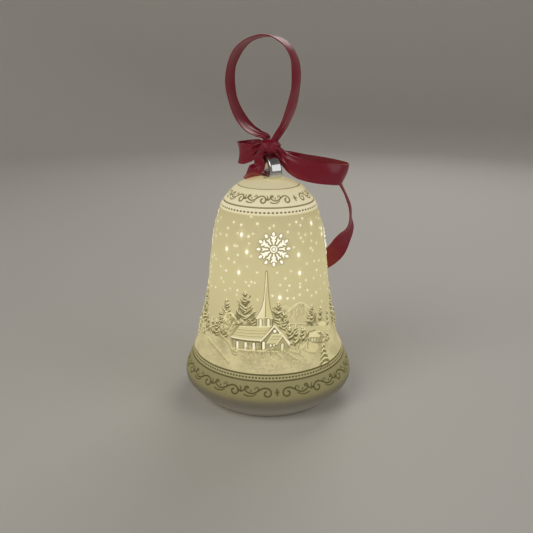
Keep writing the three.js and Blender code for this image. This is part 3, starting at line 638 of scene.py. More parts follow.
# snow in front
for k, wd in (("path1", 0.8), ("path2", 0.8), ("path3", 0.7), ("hill1", 0.7), ("hill2", 0.7), ("hill3", 1.2), ("hill4", 1.1), ("hill5", 0.8), ("hill6", 0.8)):
    stroke([(a, z - 0.5) for a, z in V[k]], wd, lum=0.56, smooth=6, soft=0.7, alpha=0.7, raise_by=-0.12)
    stroke([(a, z + 0.35) for a, z in V[k]], wd * 0.7, lum=0.80, smooth=6, soft=0.5, alpha=0.7, raise_by=0.1)
fill(V["mounds_r"], lum=0.77, raise_by=0.2, soft=1.0, smooth=4, alpha=0.8)
gg = np.random.default_rng(404)
for i in range(520):
    a = gg.uniform(-75, 75) if i % 3 else gg.uniform(-178, 178)
    z = 25.2 + 12.5 * gg.random() ** 0.8
    tilt = 0.10 * math.sin(math.radians(a) * 3.3 + z * 0.35) + gg.uniform(-0.05, 0.05)
    ln0 = gg.uniform(0.8, 3.2)
    br = gg.random() < 0.5
    stroke([(a, z), (a + ln0, z + ln0 * tilt * 2.2)], gg.uniform(0.3, 0.6), lum=0.80 if br else 0.57, w1=0.2, alpha=gg.uniform(0.25, 0.6),
           raise_by=0.05 if br else -0.05, soft=0.35)
for i in range(420):
    a, z = gg.normal(3, 13), gg.uniform(25.8, 35.0)
    blob(a, s_of(z), 0.28, 0.22, lum=0.80 if gg.random() < 0.45 else 0.55, alpha=0.55, soft=0.25, raise_by=0.04)
for i in range(46):
    a, z = rng.uniform(-20, 34), rng.uniform(33.5, 38.0)
    stroke([(a, z), (a + rng.uniform(-0.7, 0.7), z - rng.uniform(0.5, 1.4))], 0.35, lum=rng.choice([0.42, 0.80]), alpha=0.75)
if "fir" in T:
    t = T["fir"]
    snowy_fir(t[0], t[1], t[2], t[3], 3.6, 3, tiers=6)

# ---------------------------------------------------------------- snow in the sky
for f in FLAKES:
    a, s = f[0], s_of(f[1])
    big = len(f) > 2
    r0 = 0.95 if big else rng.uniform(0.42, 0.62)
    # painted glow: a soft bright halo round each snow dot
    blob(a, s, r0 * 2.2, r0 * (2.8 if big else 2.2), lum=0.80 if big else 0.78, alpha=0.34 if big else 0.22, soft=r0 * 2.0)
    blob(a, s, r0 * (0.9 if big else 1.0), r0 * (1.15 if big else 1.0), lum=0.99 if big else rng.uniform(0.88, 0.95), raise_by=0.15, soft=0.24)
    if big:
        stroke_s(np.array([(a, s - 2.3), (a, s), (a, s + 2.0)]), 0.35, lum=0.92, w1=0.2, alpha=0.5)
g = np.random.default_rng(31)
placed = [(f[0], f[1]) for f in FLAKES]
tries = 0
while len(placed) < len(FLAKES) + 150 and tries < 4000:
    tries += 1
    a, z = g.uniform(66, 296), g.uniform(57, 96.5)
    a = a - 360 if a > 180 else a
    if min(((a - p) * 0.5) ** 2 + (z - q) ** 2 for p, q in placed) < 6.5:
        continue
    placed.append((a, z))
    big = g.random() < 0.12
    r0 = 0.95 if big else g.uniform(0.42, 0.62)
    # painted glow: a soft bright halo round each snow dot
    blob(a, s_of(z), r0 * 2.2, r0 * 2.4, lum=0.80, alpha=0.26, soft=r0 * 2)
    blob(a, s_of(z), r0, r0, lum=1.0 if big else 0.94, raise_by=0.15, soft=0.24)


def snowflake(a, z, R):
    """Twelve arms: six branched with drop tips, six forked with oval tips."""
    s = s_of(z)
    r = float(np.interp(s, S, RR))
    deg = math.degrees(1 / r)

    def at(rad, ang):
        return (a + rad * math.cos(ang) * deg, s + rad * math.sin(ang))
    blob(a, s, R * 1.05, R * 1.05, lum=0.64, alpha=0.5, soft=1.6)
    blob(a, s, 0.27 * R, 0.27 * R, lum=0.44)
    arms = []
    for k in range(12):
        an = -math.pi / 2 + k * math.pi / 6
        if k % 2 == 0:
            lines = [([at(0.32 * R, an), at(0.72 * R, an)], 0.105 * R),
                     ([at(0.58 * R, an), at(0.78 * R, an + 0.19)], 0.10 * R), ([at(0.58 * R, an), at(0.78 * R, an - 0.19)], 0.10 * R),
                     ([at(0.42 * R, an), at(0.55 * R, an + 0.20)], 0.075 * R), ([at(0.42 * R, an), at(0.55 * R, an - 0.20)], 0.075 * R)]
        else:
            lines = [([at(0.36 * R, an), at(0.52 * R, an)], 0.10 * R),
                     ([at(0.52 * R, an), at(0.68 * R, an + 0.105)], 0.085 * R), ([at(0.52 * R, an), at(0.68 * R, an - 0.105)], 0.085 * R)]
        arms.append((lines, (at(0.915 * R, an), 0.125 * R, 0.088 * R, an)))
    for lines, ((p, q), rx, ry, an) in arms:
        for P, w in lines:
            stroke_s(np.array(P), w + 0.62, lum=0.43, raise_by=-0.08, alpha=0.9, soft=0.2)
        blob(p, q, rx + 0.3, ry + 0.3, lum=0.46, turn=an, alpha=0.85)
    for i, (lines, ((p, q), rx, ry, an)) in enumerate(arms):
        for P, w in lines:
            stroke_s(np.array(P), w, lum=0.99, raise_by=0.3, soft=0.16)
        blob(p, q, rx, ry, lum=1.0, turn=an, raise_by=0.3, soft=0.2)
    blob(a, s, 0.225 * R, 0.225 * R, lum=0.98, raise_by=0.2, soft=0.2)
    blob(a, s, 0.14 * R, 0.14 * R, lum=0.46, soft=0.2)
    blob(a, s, 0.095 * R, 0.095 * R, lum=1.0, raise_by=0.2, soft=0.2)


snowflake(5.0, 83.0, 7.6)
snowflake(94, 80.5, 7.6)
snowflake(170, 84.0, 7.6)
snowflake(-106, 81.5, 7.6)

# ---------------------------------------------------------------- ruled lines, dots and scrolls
for z, lum_, w in ((108.17, 0.48, 0.55), (100.95, 0.40, 0.70), (24.62, 0.28, 0.72), (22.05, 0.27, 0.72)):
    d = np.abs(S - s_of(z))
    c = np.clip((w / 2 + 0.11 - d) / 0.22, 0, 1)[:, None]
    L += (lum_ - L) * c
    H -= 0.32 * c
for z, n, rx, ry, lum_ in ((98.9, 75, 0.62, 0.42, 0.34), (23.35, 152, 0.50, 0.42, 0.24)):
    for k in range(n):
        blob(-180 + 360 * (k + 0.5) / n, s_of(z), rx, ry, lum=lum_, raise_by=-0.25, soft=0.22)

# one repeat of the scroll, (x, y) mm with x away from the mark, 15.6 long
SCROLL = [
    ([(5.0, .4), (5.75, -.1), (5.7, -1.2), (4.7, -1.95), (3.5, -1.7), (2.75, -.6), (3.0, .8), (4.2, 1.8), (5.9, 2.0), (7.5, 1.4),
      (8.9, .5), (10.4, -.4), (12.0, -.75), (13.6, -.4), (14.8, .5), (15.2, 1.5), (14.7, 2.3), (13.8, 2.3), (13.4, 1.6)], .62, .5),
    ([(9.6, -.9), (11.2, -1.8), (13.4, -2.1), (15.2, -1.6)], .35, .55),
    ([(15.1, .9), (16.4, -.1), (17.4, -.2), (18.2, .6)], .5, .55),
    ([(17.2, -.1), (17.0, 1.2), (17.6, 2.2)], .6, .3),
    ([(8.6, .9), (8.9, 2.0), (9.9, 2.4)], .5, .3),
]
SCROLL_DOTS = [(14.25, 1.45, .3), (10.3, 1.6, .28), (12.2, .55, .3)]


def scroll_band(mark, z_mid, period, offset, count, scale, lum_):
    s_mid = s_of(z_mid)
    for half in (0, 1):
        centre = mark + 180 * half
        for side in ((-1, 1) if half == 0 else ()):
            for k in range(count):
                start = offset + k * period
                for P, w0, w1 in SCROLL:
                    if k == count - 1 and P[0][0] > 15:
                        continue
                    Q = catmull(np.array(P), 5)
                    ang = centre + side * (start + (Q[:, 0] - 1.4) / 15.6 * period)
                    mid = ang.mean()
                    ang = ang - 360 * round(mid / 360)
                    if abs(ang).max() > 179.5:
                        for sh in (0, -360 if mid > 0 else 360):
                            stroke_s(np.stack([ang + sh, s_mid - Q[:, 1] * scale], 1), w0 * 1.22 * (0.55 + 0.45 * scale), lum=lum_, w1=w1 * 1.22 * (0.55 + 0.45 * scale), raise_by=-0.25)
                        continue
                    stroke_s(np.stack([ang, s_mid - Q[:, 1] * scale], 1), w0 * 1.22 * (0.55 + 0.45 * scale), lum=lum_, w1=w1 * 1.22 * (0.55 + 0.45 * scale), raise_by=-0.25)
                for x, y, r in SCROLL_DOTS:
                    ang = centre + side * (start + (x - 1.4) / 15.6 * period)
                    ang = (ang + 180) % 360 - 180
                    blob(ang, s_mid - y * scale, r * (0.6 + 0.4 * scale) + 0.1, r * (0.6 + 0.4 * scale) + 0.1, lum=lum_, raise_by=-0.2)
        ang = (centre + 180) % 360 - 180
        for dy, rx, ry in ((1.15, .42, .5), (0, .62, .62), (-1.2, .42, .55)):
            blob(ang, s_mid - dy * scale, rx * (0.5 + 0.5 * scale), ry * (0.5 + 0.5 * scale), lum=lum_, raise_by=-0.25)
        r = float(np.interp(s_mid, S, RR))
        for dx in (-0.9, 0.9):
            blob(ang + math.degrees(dx * scale / r), s_mid, .2, .75 * scale, lum=lum_, alpha=0.7)


scroll_band(6.06, 17.4, 22.0, 2.0, 8, 1.0, 0.25)
scroll_band(39.1, 104.3, 33.2, 7.0, 5, 0.92, 0.38)

# ---------------------------------------------------------------- the shell itself
RAMP_L = np.array([0, .03, .23, .35, .459, .569, .63, .686, .757, .82, .886, .98, 1.0])
RAMP = np.array([(3, 3, 1), (8, 8, 4), (59, 57, 32), (90, 84, 52), (117, 110, 72), (145, 137, 95), (161, 150, 108), (176, 165, 121), (193, 183, 132),
                 (209, 198, 150), (226, 216, 184), (250, 245, 227), (255, 250, 236)]) / 255.0
POWER = 1.0
Lc = np.clip(L, 0.02, 1.0)
target = np.stack([np.interp(Lc, RAMP_L, RAMP[:, k]) for k in range(3)], -1)
# the two bands near the crown are creamier than the sky
cream = np.clip((Zc - 97.5) / 1.0, 0, 1)[..., None]
target = target * (1 + cream * (np.array([0.0, 0.005, 0.10]) * (Lc[..., None] > 0.6)))
target_lin = lin(np.clip(target, 0, 1))
STUDIO = np.array([0.125, 0.125, 0.13])       # what the studio light alone gives a pale wall
# painted shade in the base colour: above the lip, where the painted glow is dim, the porcelain's white turns dark olive
tone = np.clip((Lc - 0.25) / 0.45, 0, 1)[..., None]
lipdim = np.clip((Zc - 5) / 10, 0, 1)[..., None]
mixk = tone * lipdim + (1 - lipdim)
base = np.array([0.62, 0.59, 0.505]) * mixk + np.array([0.13, 0.105, 0.045]) * (1 - mixk)
# painted glow: the light from inside showing through the porcelain goes into the wall's emission colour, the target
# colour less what the studio light already gives
glow = np.clip(target_lin - STUDIO * base / 0.6, 0.0, 1.2)

inner = catmull(INNER[9:], 3)
inner = np.vstack([np.array(INNER[1:9]), inner])
prof_r = np.r_[RR, inner[:, 0]]
prof_z = np.r_[ZR, inner[:, 1]]
NV = len(prof_r)
dr, dz = np.gradient(RR), np.gradient(ZR)
ln = np.hypot(dr, dz)
nr, nz = -dz / ln, dr / ln                      # outward normal of the outer profile
inv = np.empty(NC, int)
inv[order] = np.arange(NC)                      # carving column of each mesh column
Hm = H[:, inv]
edge_fade = np.clip(np.minimum(S, S[-1] - S) / 2.0, 0, 1)[:, None]
Hm = Hm * edge_fade
R2 = np.vstack([RR[:, None] + nr[:, None] * Hm, np.repeat(inner[:, 0][:, None], NC, 1)])
Z2 = np.vstack([ZR[:, None] + nz[:, None] * Hm, np.repeat(inner[:, 1][:, None], NC, 1)])
th = np.radians(TH)[None, :]
P = np.stack([R2 * np.sin(th), -R2 * np.cos(th), Z2], -1) * MM
vcut = 0.86
fv = np.r_[np.linspace(0.002, vcut, NR), np.linspace(vcut, 0.998, NV - NR + 2)[1:]]
fu = np.linspace(0.001, 0.999, NC + 1)

porcelain = bpy.data.materials.new("porcelain")
porcelain.use_nodes = True
nt = porcelain.node_tree
bs = nt.nodes["Principled BSDF"]
bs.inputs["Roughness"].default_value = 0.62
bs.inputs["Specular IOR Level"].default_value = 0.35
# the wall glows by emission from the wall_glow attribute: painted glow, the porcelain itself is no lamp
bs.inputs["Emission Strength"].default_value = 1.0
for attr, sock in (("wall_tint_and_shade", "Base Color"), ("wall_glow", "Emission Color")):
    an = nt.nodes.new("ShaderNodeAttribute")
    an.attribute_name = attr
    nt.links.new(an.outputs["Color"], bs.inputs[sock])

shell = grid_mesh("bell_shell_relief", P, porcelain, uv=(fu, fv), flip=True)
for attr, A, inner_c in (("wall_tint_and_shade", base, (0.62, 0.60, 0.54)), ("wall_glow", glow, (0.10, 0.085, 0.045))):
    full = np.empty((NV, NC, 4), np.float32)
    full[:NR, :, :3] = A[:, inv]
    full[NR:, :, :3] = inner_c
    if attr == "wall_glow":
        # painted glow on the inner face too, fading out towards the lip
        zi = inner[:, 1][:, None, None]
        full[NR:, :, :3] *= np.clip((zi - 2) / 10, 0, 1) * 4.0
    full[..., 3] = 1
    ca = shell.data.color_attributes.new(name=attr, type="FLOAT_COLOR", domain="POINT")
    ca.data.foreach_set("color", full.ravel())
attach(shell, "bell")
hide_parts("bell_shell")

# ---------------------------------------------------------------- satin ribbon
satin = material("satin_ribbon", (150, 9, 45), rough=0.34, Sheen_Weight=0.35, Sheen_Roughness=0.35,
                 Anisotropic=0.55, Specular_IOR_Level=0.6)
satin.node_tree.nodes["Principled BSDF"].inputs["Sheen Tint"].default_value = (0.9, 0.25, 0.3, 1)

RIBBONS = {
    "bow_loop_right": [
        (6.2, -1.6, 121.4, 0, 0, 1, 6), (10, -4.4, 118.6, 0, 0.05, 1, 8.2), (15, -6.4, 116.4, 0, 0.1, 1, 9.6),
        (22, -7.4, 114.9, 0.05, 0.12, 1, 10), (29, -6.6, 114, 0.12, 0.12, 1, 10), (34.6, -3.6, 113.3, 0.25, 0.1, 1, 10),
        (37.2, 0.8, 113, 0.32, 0, 1, 10), (36.9, 5.2, 113.2, 0.28, -0.05, 1, 10), (33.6, 8.6, 113.9, 0.18, -0.1, 1, 10),
        (28, 9.9, 114.9, 0.08, -0.12, 1, 10), (21, 9.4, 116, 0, -0.12, 1, 10), (14, 7, 117.6, 0, -0.1, 1, 9.6),
        (9.8, 4.4, 119.4, 0, -0.05, 1, 8.2), (6.2, 1.7, 121.4, 0, 0, 1, 6)],
    "bow_loop_left": [
        (-6.1, 0.3, 124.4, 0, 0, 1, 6), (-9, 1.6, 122.9, 0, 0.05, 1, 8.4), (-12.6, 5.2, 122, 0.05, 0.05, 1, 10),
        (-14.9, 10.2, 121.8, -0.05, 0, 1, 10), (-14.6, 15.6, 121.8, -0.05, 0, 1, 10), (-11.4, 18.9, 121.9, 0, 0, 1, 10),
        (-7.6, 18.3, 122.4, 0, 0, 1, 10), (-5, 14.2, 123, 0, 0, 1, 10), (-3.2, 9.4, 124, 0, 0, 1, 8.4),
        (-2.4, 5.3, 125, 0, 0, 1, 6)],
    "bow_tail_right": [
        (6.6, 5.8, 120.9, 0, 0.1, 1, 6.0), (12.4, 11.4, 117.4, 0, 0.05, 1, 8.5), (19.6, 14.8, 115.2, 0.05, 0.15, 0.97, 10),
        (27.0, 16.4, 113.0, 0.15, 0.7, 0.7, 10), (34.4, 15.8, 109.4, 0.16, 0.97, 0.1, 10), (37.4, 15.4, 104.3, 0.14, 0.97, -0.1, 10),
        (39.8, 15.2, 99.4, 0.14, 0.97, -0.12, 10), (41.8, 15.2, 94.2, 0.14, 0.97, -0.16, 10), (42.5, 15.6, 88.8, 0.14, 0.97, -0.2, 10),
        (42.3, 16.6, 83.3, 0.18, 0.96, -0.18, 10), (41.1, 18.3, 79.1, 0.45, 0.86, -0.25, 10), (39.0, 20.8, 73.7, 0.8, 0.4, -0.45, 10),
        (36.6, 24.0, 67.6, 0.76, 0, -0.65, 10), (32.8, 28.0, 62.2, 0.62, 0, -0.78, 10), (28.2, 31.4, 58.2, 0.5, -0.05, -0.86, 10),
        (23.6, 33.8, 55.4, 0.42, -0.1, -0.9, 10)],
    "bow_tail_left": [
        (-4.9, -2.7, 121.2, 0.55, -0.8, 0, 5.4), (-4.6, -3.5, 117.6, 0.8, -0.5, 0.1, 6.4),
        (-7.6, -3.3, 114.3, 0.93, 0.1, 0.2, 7.2), (-9.1, 1.2, 113.3, 0.75, 0, 0.62, 7.6), (-9.5, 5.8, 113, 0.55, 0, 0.82, 7.8),
        (-8.8, 10.6, 111.7, 0.8, 0, 0.55, 8.8), (-7.7, 15.3, 109, 0.93, 0, 0.35, 9.6), (-7.4, 19.7, 105, 0.96, 0.05, 0.22, 10),
        (-7.8, 22.9, 100.5, 1, 0.1, 0.08, 10), (-8.4, 25.6, 95, 1, 0.1, 0, 10), (-9, 27.9, 87.5, 0.99, 0.15, 0, 10),
        (-9.6, 29.6, 79.5, 0.99, 0.15, 0, 10), (-10, 31, 71, 0.99, 0.15, 0, 10), (-10.4, 32.2, 62.5, 0.99, 0.15, 0, 10)],
    "hanging_loop": [
        (-1.4, 0.4, 130.6, 0.5, 0.85, 0, 6.0), (-5.4, 0.6, 132.4, 0.45, 0.87, 0.1, 8), (-9.3, 0.8, 134.7, 0.4, 0.88, 0.12, 10),
        (-13.0, 1, 138.9, 0.38, 0.9, 0.12, 10), (-15.8, 1, 144.2, 0.35, 0.92, 0.1, 10), (-17.6, 1, 149.9, 0.34, 0.93, 0.05, 10),
        (-18.3, 1, 156.6, 0.34, 0.93, 0, 10), (-17.3, 1, 163.7, 0.34, 0.93, 0, 10), (-14.2, 1, 169.8, 0.34, 0.93, 0, 10),
        (-9.3, 1, 174.1, 0.34, 0.93, 0, 10), (-3.4, 1, 176.0, 0.34, 0.93, 0, 10), (3.0, 1, 175.3, 0.34, 0.93, 0, 10),
        (8.5, 1, 171.9, 0.34, 0.93, 0, 10), (11.7, 1, 166.2, 0.38, 0.92, 0, 10), (12.7, 1, 160.1, 0.4, 0.9, 0, 10),
        (12.6, 1, 153.8, 0.42, 0.9, 0, 10), (11.5, 1, 147.5, 0.44, 0.89, 0, 10), (9.6, 0.8, 141.2, 0.46, 0.88, 0, 10),
        (7.1, 0.6, 135.6, 0.46, 0.88, 0, 8.6), (3.9, 0.2, 130.9, 0.5, 0.85, 0, 6.0)],
}
# how much each strip is cupped across and rippled along: (cup mm, ripple mm, ripples, end pleats mm)
SHAPE = {"bow_loop_right": (0.45, 0.22, 5, 0.7), "bow_loop_left": (0.4, 0.20, 4, 0.7), "bow_tail_right": (0.30, 0.22, 6, 0.5),
         "bow_tail_left": (0.25, 0.30, 9, 0.6), "hanging_loop": (0.30, 0.14, 8, 0.5)}


# where each strip runs on into the knot, so that no end shows: before its first station and after its last
ROOTS = {
    "hanging_loop": ((-0.5, 0.2, 127.4, 0.5, 0.85, 0, 4.6), (1.5, 0.1, 127.4, 0.5, 0.85, 0, 4.6)),
    "bow_loop_right": ((2.4, -0.9, 124.9, 0, 0, 1, 4.4), (2.4, 0.9, 124.9, 0, 0, 1, 4.4)),
    "bow_loop_left": ((-3.0, 0.1, 125.7, 0, 0, 1, 4.8), (-1.3, 2.4, 125.9, 0, 0, 1, 4.8)),
    "bow_tail_right": ((2.9, 2.3, 124.9, 0, 0.1, 1, 4.4), None),
    "bow_tail_left": ((-3.0, -1.5, 124.7, 0.55, -0.8, 0, 4.4), None),
}


def ribbon(name):
    before, after = ROOTS[name]
    st = np.array([before] + RIBBONS[name] + ([after] if after else []), float)
    per = 14
    C = catmull(st[:, :3], per)
    u = np.linspace(0, len(st) - 1, len(C))
    j = np.minimum(u.astype(int), len(st) - 2)
    f = (u - j)[:, None]
    W = st[j, 3:6] * (1 - f) + st[j + 1, 3:6] * f
    wid = (st[j, 6] * (1 - f[:, 0]) + st[j + 1, 6] * f[:, 0])
    soft = per * {"bow_tail_right": 1.35}.get(name, 0.35)   # the twist spread along the strip
    kx = np.arange(-int(3 * soft), int(3 * soft) + 1)
    kw = np.exp(-0.5 * (kx / soft) ** 2)
    W = np.stack([np.convolve(np.pad(W[:, c], len(kx) // 2, mode="edge"), kw / kw.sum(), "valid") for c in range(3)], 1)
    Tn = np.gradient(C, axis=0)
    Tn /= np.linalg.norm(Tn, axis=1)[:, None]
    W -= (W * Tn).sum(1)[:, None] * Tn
    W /= np.linalg.norm(W, axis=1)[:, None]
    B = np.cross(Tn, W)
    cup, rip, nrip, pleat = SHAPE[name]
    length = np.linalg.norm(np.diff(C, axis=0), axis=1).sum()
    t = np.r_[0, np.cumsum(np.linalg.norm(np.diff(C, axis=0), axis=1))] / length
    ends = np.exp(-(t * length / 9.0) ** 2) + (np.exp(-((1 - t) * length / 9.0) ** 2) if name in ("bow_loop_right", "bow_loop_left", "hanging_loop") else 0)
    nw = 25
    q = np.linspace(-1, 1, nw)
    half_t = 0.17
    seed = sum(map(ord, name)) % 97

    def off(sgn):
        bend = cup * (1 - 1.6 * q[None, :] ** 2) * (1 - 0.6 * ends[:, None])
        wave = rip * np.sin(TAU * nrip * t[:, None] + 1.7 * q[None, :] + seed) * np.sin(math.pi * np.clip(t, 0, 1))[:, None] ** 0.5
        fold = pleat * ends[:, None] * np.sin(q[None, :] * 7.5 + 2.0 * t[:, None] * 9 + seed)
        edge = 0.10 * sgn * (np.abs(q[None, :]) > 0.93)
        d = bend + wave + fold
        return C[:, None, :] + W[:, None, :] * (q[None, :, None] * (wid[:, None, None] / 2)) + B[:, None, :] * (d + sgn * half_t + edge)[..., None]
    top, bot = off(1), off(-1)
    loop = np.concatenate([top, bot[:, ::-1]], axis=1)        # closed round the strip
    n, m = loop.shape[:2]
    verts = loop.reshape(-1, 3) * MM
    faces = []
    for i in range(n - 1):
        for k in range(m):
            a, b = i * m + k, i * m + (k + 1) % m
            faces.append((a, b, b + m, a + m))
    for i, flip in ((0, True), (n - 1, False)):
        for k in range(nw - 1):
            a, b = i * m + k, i * m + k + 1
            c, d = i * m + m - 2 - k, i * m + m - 1 - k
            fc = (a, d, c, b) if flip else (a, b, c, d)
            faces.append(fc[::-1])
    o = obj_from(name + "_satin", verts, faces, satin, sharp=55)
    # point the faces outwards
    import bmesh
    bm = bmesh.new()
    bm.from_mesh(o.data)
    bmesh.ops.recalc_face_normals(bm, faces=bm.faces)
    bm.to_mesh(o.data)
    bm.free()
    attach(o, "bell")
    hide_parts(name)
    area = sum(np.linalg.norm(np.diff(C, axis=0), axis=1) * 0.5 * (wid[1:] + wid[:-1]))
    return o, length, area


STRIP = {}
for nm in RIBBONS:
    STRIP[nm], ln_, ar_ = ribbon(nm)

# ---------------------------------------------------------------- knot
EYE = math.radians(-62)
ED = np.array([math.cos(EYE), math.sin(EYE), 0.0])      # along the eye's plane
EN = np.array([-math.sin(EYE), math.cos(EYE), 0.0])     # across it
nu, nv = ((110, 60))
uu = np.linspace(0, TAU, nu, endpoint=False)
vv = np.linspace(0.06, math.pi - 0.06, nv)
U, Vv = np.meshgrid(uu, vv)
fold = (0.05 * np.sin(3 * U + 5.0 * np.cos(Vv)) + 0.035 * np.sin(7 * U - 7 * np.cos(Vv) + 1.1)
        + 0.06 * np.exp(-((np.cos(Vv) * 1.0 + 0.35 * np.sin(U + 0.6)) / 0.16) ** 2) * -1.0)
rad = 1 + fold * np.sin(Vv)
P = np.stack([0.3 + 5.2 * rad * np.sin(Vv) * np.cos(U), 4.2 * rad * np.sin(Vv) * np.sin(U), 126.2 + 3.7 * rad * np.cos(Vv)], -1)
low = P[..., 2] < 123.25
P[..., 2] = np.where(low, 123.25 + (P[..., 2] - 123.25) * 0.15, P[..., 2])
knot = grid_mesh("ribbon_knot_folds", P * MM, satin, wrap_v=False)
import bmesh


def close_ends(o):
    bm = bmesh.new()
    bm.from_mesh(o.data)
    bmesh.ops.holes_fill(bm, edges=[e for e in bm.edges if e.is_boundary], sides=0)
    bmesh.ops.recalc_face_normals(bm, faces=bm.faces)
    bm.to_mesh(o.data)
    bm.free()
    o.data.polygons.foreach_set("use_smooth", [True] * len(o.data.polygons))


close_ends(knot)
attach(knot, "bell")
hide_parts("ribbon_knot")


def rounded_rect(hw, hh, r, n=8):
    out = []
    for cx, cy, a0 in ((hw - r, hh - r, 0), (-hw + r, hh - r, 90), (-hw + r, -hh + r, 180), (hw - r, -hh + r, 270)):
        for k in range(n + 1):
            a = math.radians(a0 + 90 * k / n)
            out.append((cx + r * math.cos(a), cy + r * math.sin(a)))
    return np.array(out)


# the turn of ribbon that goes round the eye's top bar
path = rounded_rect(3.98, 1.62, 0.9, 8)                 # across (EN), up
zc = 120.95
nq = 17
qs = np.linspace(-1, 1, nq)
ring = []
tang = np.roll(path, -1, 0) - np.roll(path, 1, 0)
tang /= np.linalg.norm(tang, axis=1)[:, None]
nrm = np.stack([tang[:, 1], -tang[:, 0]], 1)
for side in (1, -1):
    for q in qs[::side]:
        d = 0.17 * side + 0.10 * math.sin(q * 5.0) * (1 if abs(q) < 0.95 else 0.4)
        p = path + nrm * (d + 0.12)
        x = q * 2.15
        ring.append(np.stack([EN[0] * p[:, 0] + ED[0] * x, EN[1] * p[:, 0] + ED[1] * x, zc + p[:, 1] * 1.16], 1))
ringP = np.array(ring)
wrap = grid_mesh("ribbon_wrap", ringP * MM, satin)
close_ends(wrap)
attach(wrap, "bell")
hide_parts("ribbon_knot")

# ---------------------------------------------------------------- hanger
chrome = material("polished_metal", (214, 214, 212), rough=0.09, metal=1.0)
zinc = material("zinc_steel", (176, 178, 180), rough=0.32, metal=1.0)
bar = [(-6.6, 1.35), (-6.6, 3.0)] + [(-6.6 * math.cos(a), 3.0 + 6.6 * math.sin(a)) for a in np.linspace(0, math.pi, 33)[1:-1]] + [(6.6, 3.0), (6.6, 1.35)]
loop = np.array(bar + [(6.3, 1.0), (5.6, 0.98), (3, 0.98), (0, 0.98), (-3, 0.98), (-5.6, 0.98), (-6.3, 1.0)])
loop = resample(np.vstack([loop, loop[:1]]), n=(193))[:-1]
t2 = np.roll(loop, -1, 0) - np.roll(loop, 1, 0)
t2 /= np.linalg.norm(t2, axis=1)[:, None]
n2 = np.stack([t2[:, 1], -t2[:, 0]], 1)
sec = rounded_rect(3.2, 1.4, 0.95, 6)                   # across the plane, in the plane
low_k = np.clip((loop[:, 1] - 1.0) / 1.0, 0, 1)
halfb = 0.98 + (1.4 - 0.98) * low_k
G = []
for (sx, sy) in sec:
    inpl = loop + n2 * (sy / 1.4 * halfb)[:, None]
    G.append(np.stack([ED[0] * inpl[:, 0] + EN[0] * sx, ED[1] * inpl[:, 0] + EN[1] * sx, 111.6 + inpl[:, 1]], 1))
eye = grid_mesh("hanger_eye_polished", np.array(G) * MM, chrome)


def fix_normals(o, sharp=None):
    bm = bmesh.new()
    bm.from_mesh(o.data)
    bmesh.ops.recalc_face_normals(bm, faces=bm.faces)
    bm.to_mesh(o.data)
    bm.free()
    o.data.polygons.foreach_set("use_smooth", [True] * len(o.data.polygons))
    if sharp is not None:
        o.data.set_sharp_from_angle(angle=math.radians(sharp))


fix_normals(eye)
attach(eye, "bell")
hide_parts("hanger_eye")


def lathe(name, prof, mat, seg=96, sharp=28, on_axis=False):
    """A solid of revolution from (r, z) mm; on_axis profiles start and end at r = 0."""
    prof = np.array(prof, float)
    a = np.linspace(0, TAU, seg, endpoint=False)
    verts, faces, ids = [], [], []
    for r, z in prof:
        if r < 1e-6:
            ids.append([len(verts)] * seg)
            verts.append((0, 0, z))
        else:
            ids.append(list(range(len(verts), len(verts) + seg)))
            verts.extend((r * math.cos(t), r * math.sin(t), z) for t in a)
    n = len(prof)
    for i in range(n if not on_axis else n - 1):
        A, B_ = ids[i], ids[(i + 1) % n]
        for k in range(seg):
            k2 = (k + 1) % seg
            f = []
            for v in (A[k], A[k2], B_[k2], B_[k]):
                if v not in f:
                    f.append(v)
            if len(f) > 2:
                faces.append(f)
    o = obj_from(name, np.array(verts) * MM, faces, mat)
    fix_normals(o, sharp)
    return o


def put(o, body, slot, *reps):
    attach(o, body)
    if reps:
        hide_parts(*reps)
    return o


thread = [(0, 99.5), (1.9, 99.5)]
z = 99.9
while z < 106.0:
    thread += [(2.4, z), (2.05, z + 0.25)]
    z += 0.5
thread += [(2.4, 106.3), (2.4, 112.2), (0, 112.2)]
put(lathe("hanger_shank", thread, zinc, seg=48, sharp=60, on_axis=True), "bell", "polished_metal", "hanger_eye")

# ---------------------------------------------------------------- light unit
white_pl = material("white_plastic", (232, 230, 222), rough=0.42)
black_pl = material("black_plastic", (34, 34, 36), rough=0.45)
rubber = material("grip_rubber", (205, 203, 194), rough=0.75, Transmission_Weight=0.0)
seal = material("soft_seal", (222, 219, 210), rough=0.7)
board = material("circuit_board", (24, 84, 50), rough=0.38)
cellm = material("cell_steel", (200, 201, 203), rough=0.26, metal=1.0)
contact = material("contact_metal", (206, 190, 140), rough=0.3, metal=1.0)
frost = material("frosted_plastic", (250, 238, 205), rough=0.38)
fb = frost.node_tree.nodes["Principled BSDF"]
# painted glow: the frosted dome's emission stands in for the LED's light shining through it
fb.inputs["Emission Color"].default_value = (1.0, 0.80, 0.42, 1)
fb.inputs["Emission Strength"].default_value = 2.4
led = material("led_resin", (255, 240, 205), rough=0.15)
lb = led.node_tree.nodes["Principled BSDF"]
lb.inputs["Emission Color"].default_value = (1.0, 0.84, 0.52, 1)
lb.inputs["Emission Strength"].default_value = 6.0

BY_NODE = {
    "light_housing": white_pl, "light_cover": white_pl, "battery_door": white_pl, "switch_body": black_pl,
    "switch_slider": black_pl, "led_board": board, "led_emitter": led, "negative_contact": contact,
    "positive_contact": contact, "coin_cell_lower": cellm, "coin_cell_upper": cellm, "hanger_seal_washer": seal,
    "hanger_steel_washer": zinc, "hanger_nut": zinc, "cover_screw_1": zinc, "cover_screw_2": zinc, "cover_screw_3": zinc,
    "grip_ring": rubber, "light_diffuser": frost, "bell_shell": porcelain, "hanger_eye": chrome}
for nm in RIBBONS:
    BY_NODE[nm] = satin
BY_NODE["ribbon_knot"] = satin
for nm, m in BY_NODE.items():
    o = nodes.get(nm)
    if o is not None:
        for s in o.material_slots:
            s.material = m

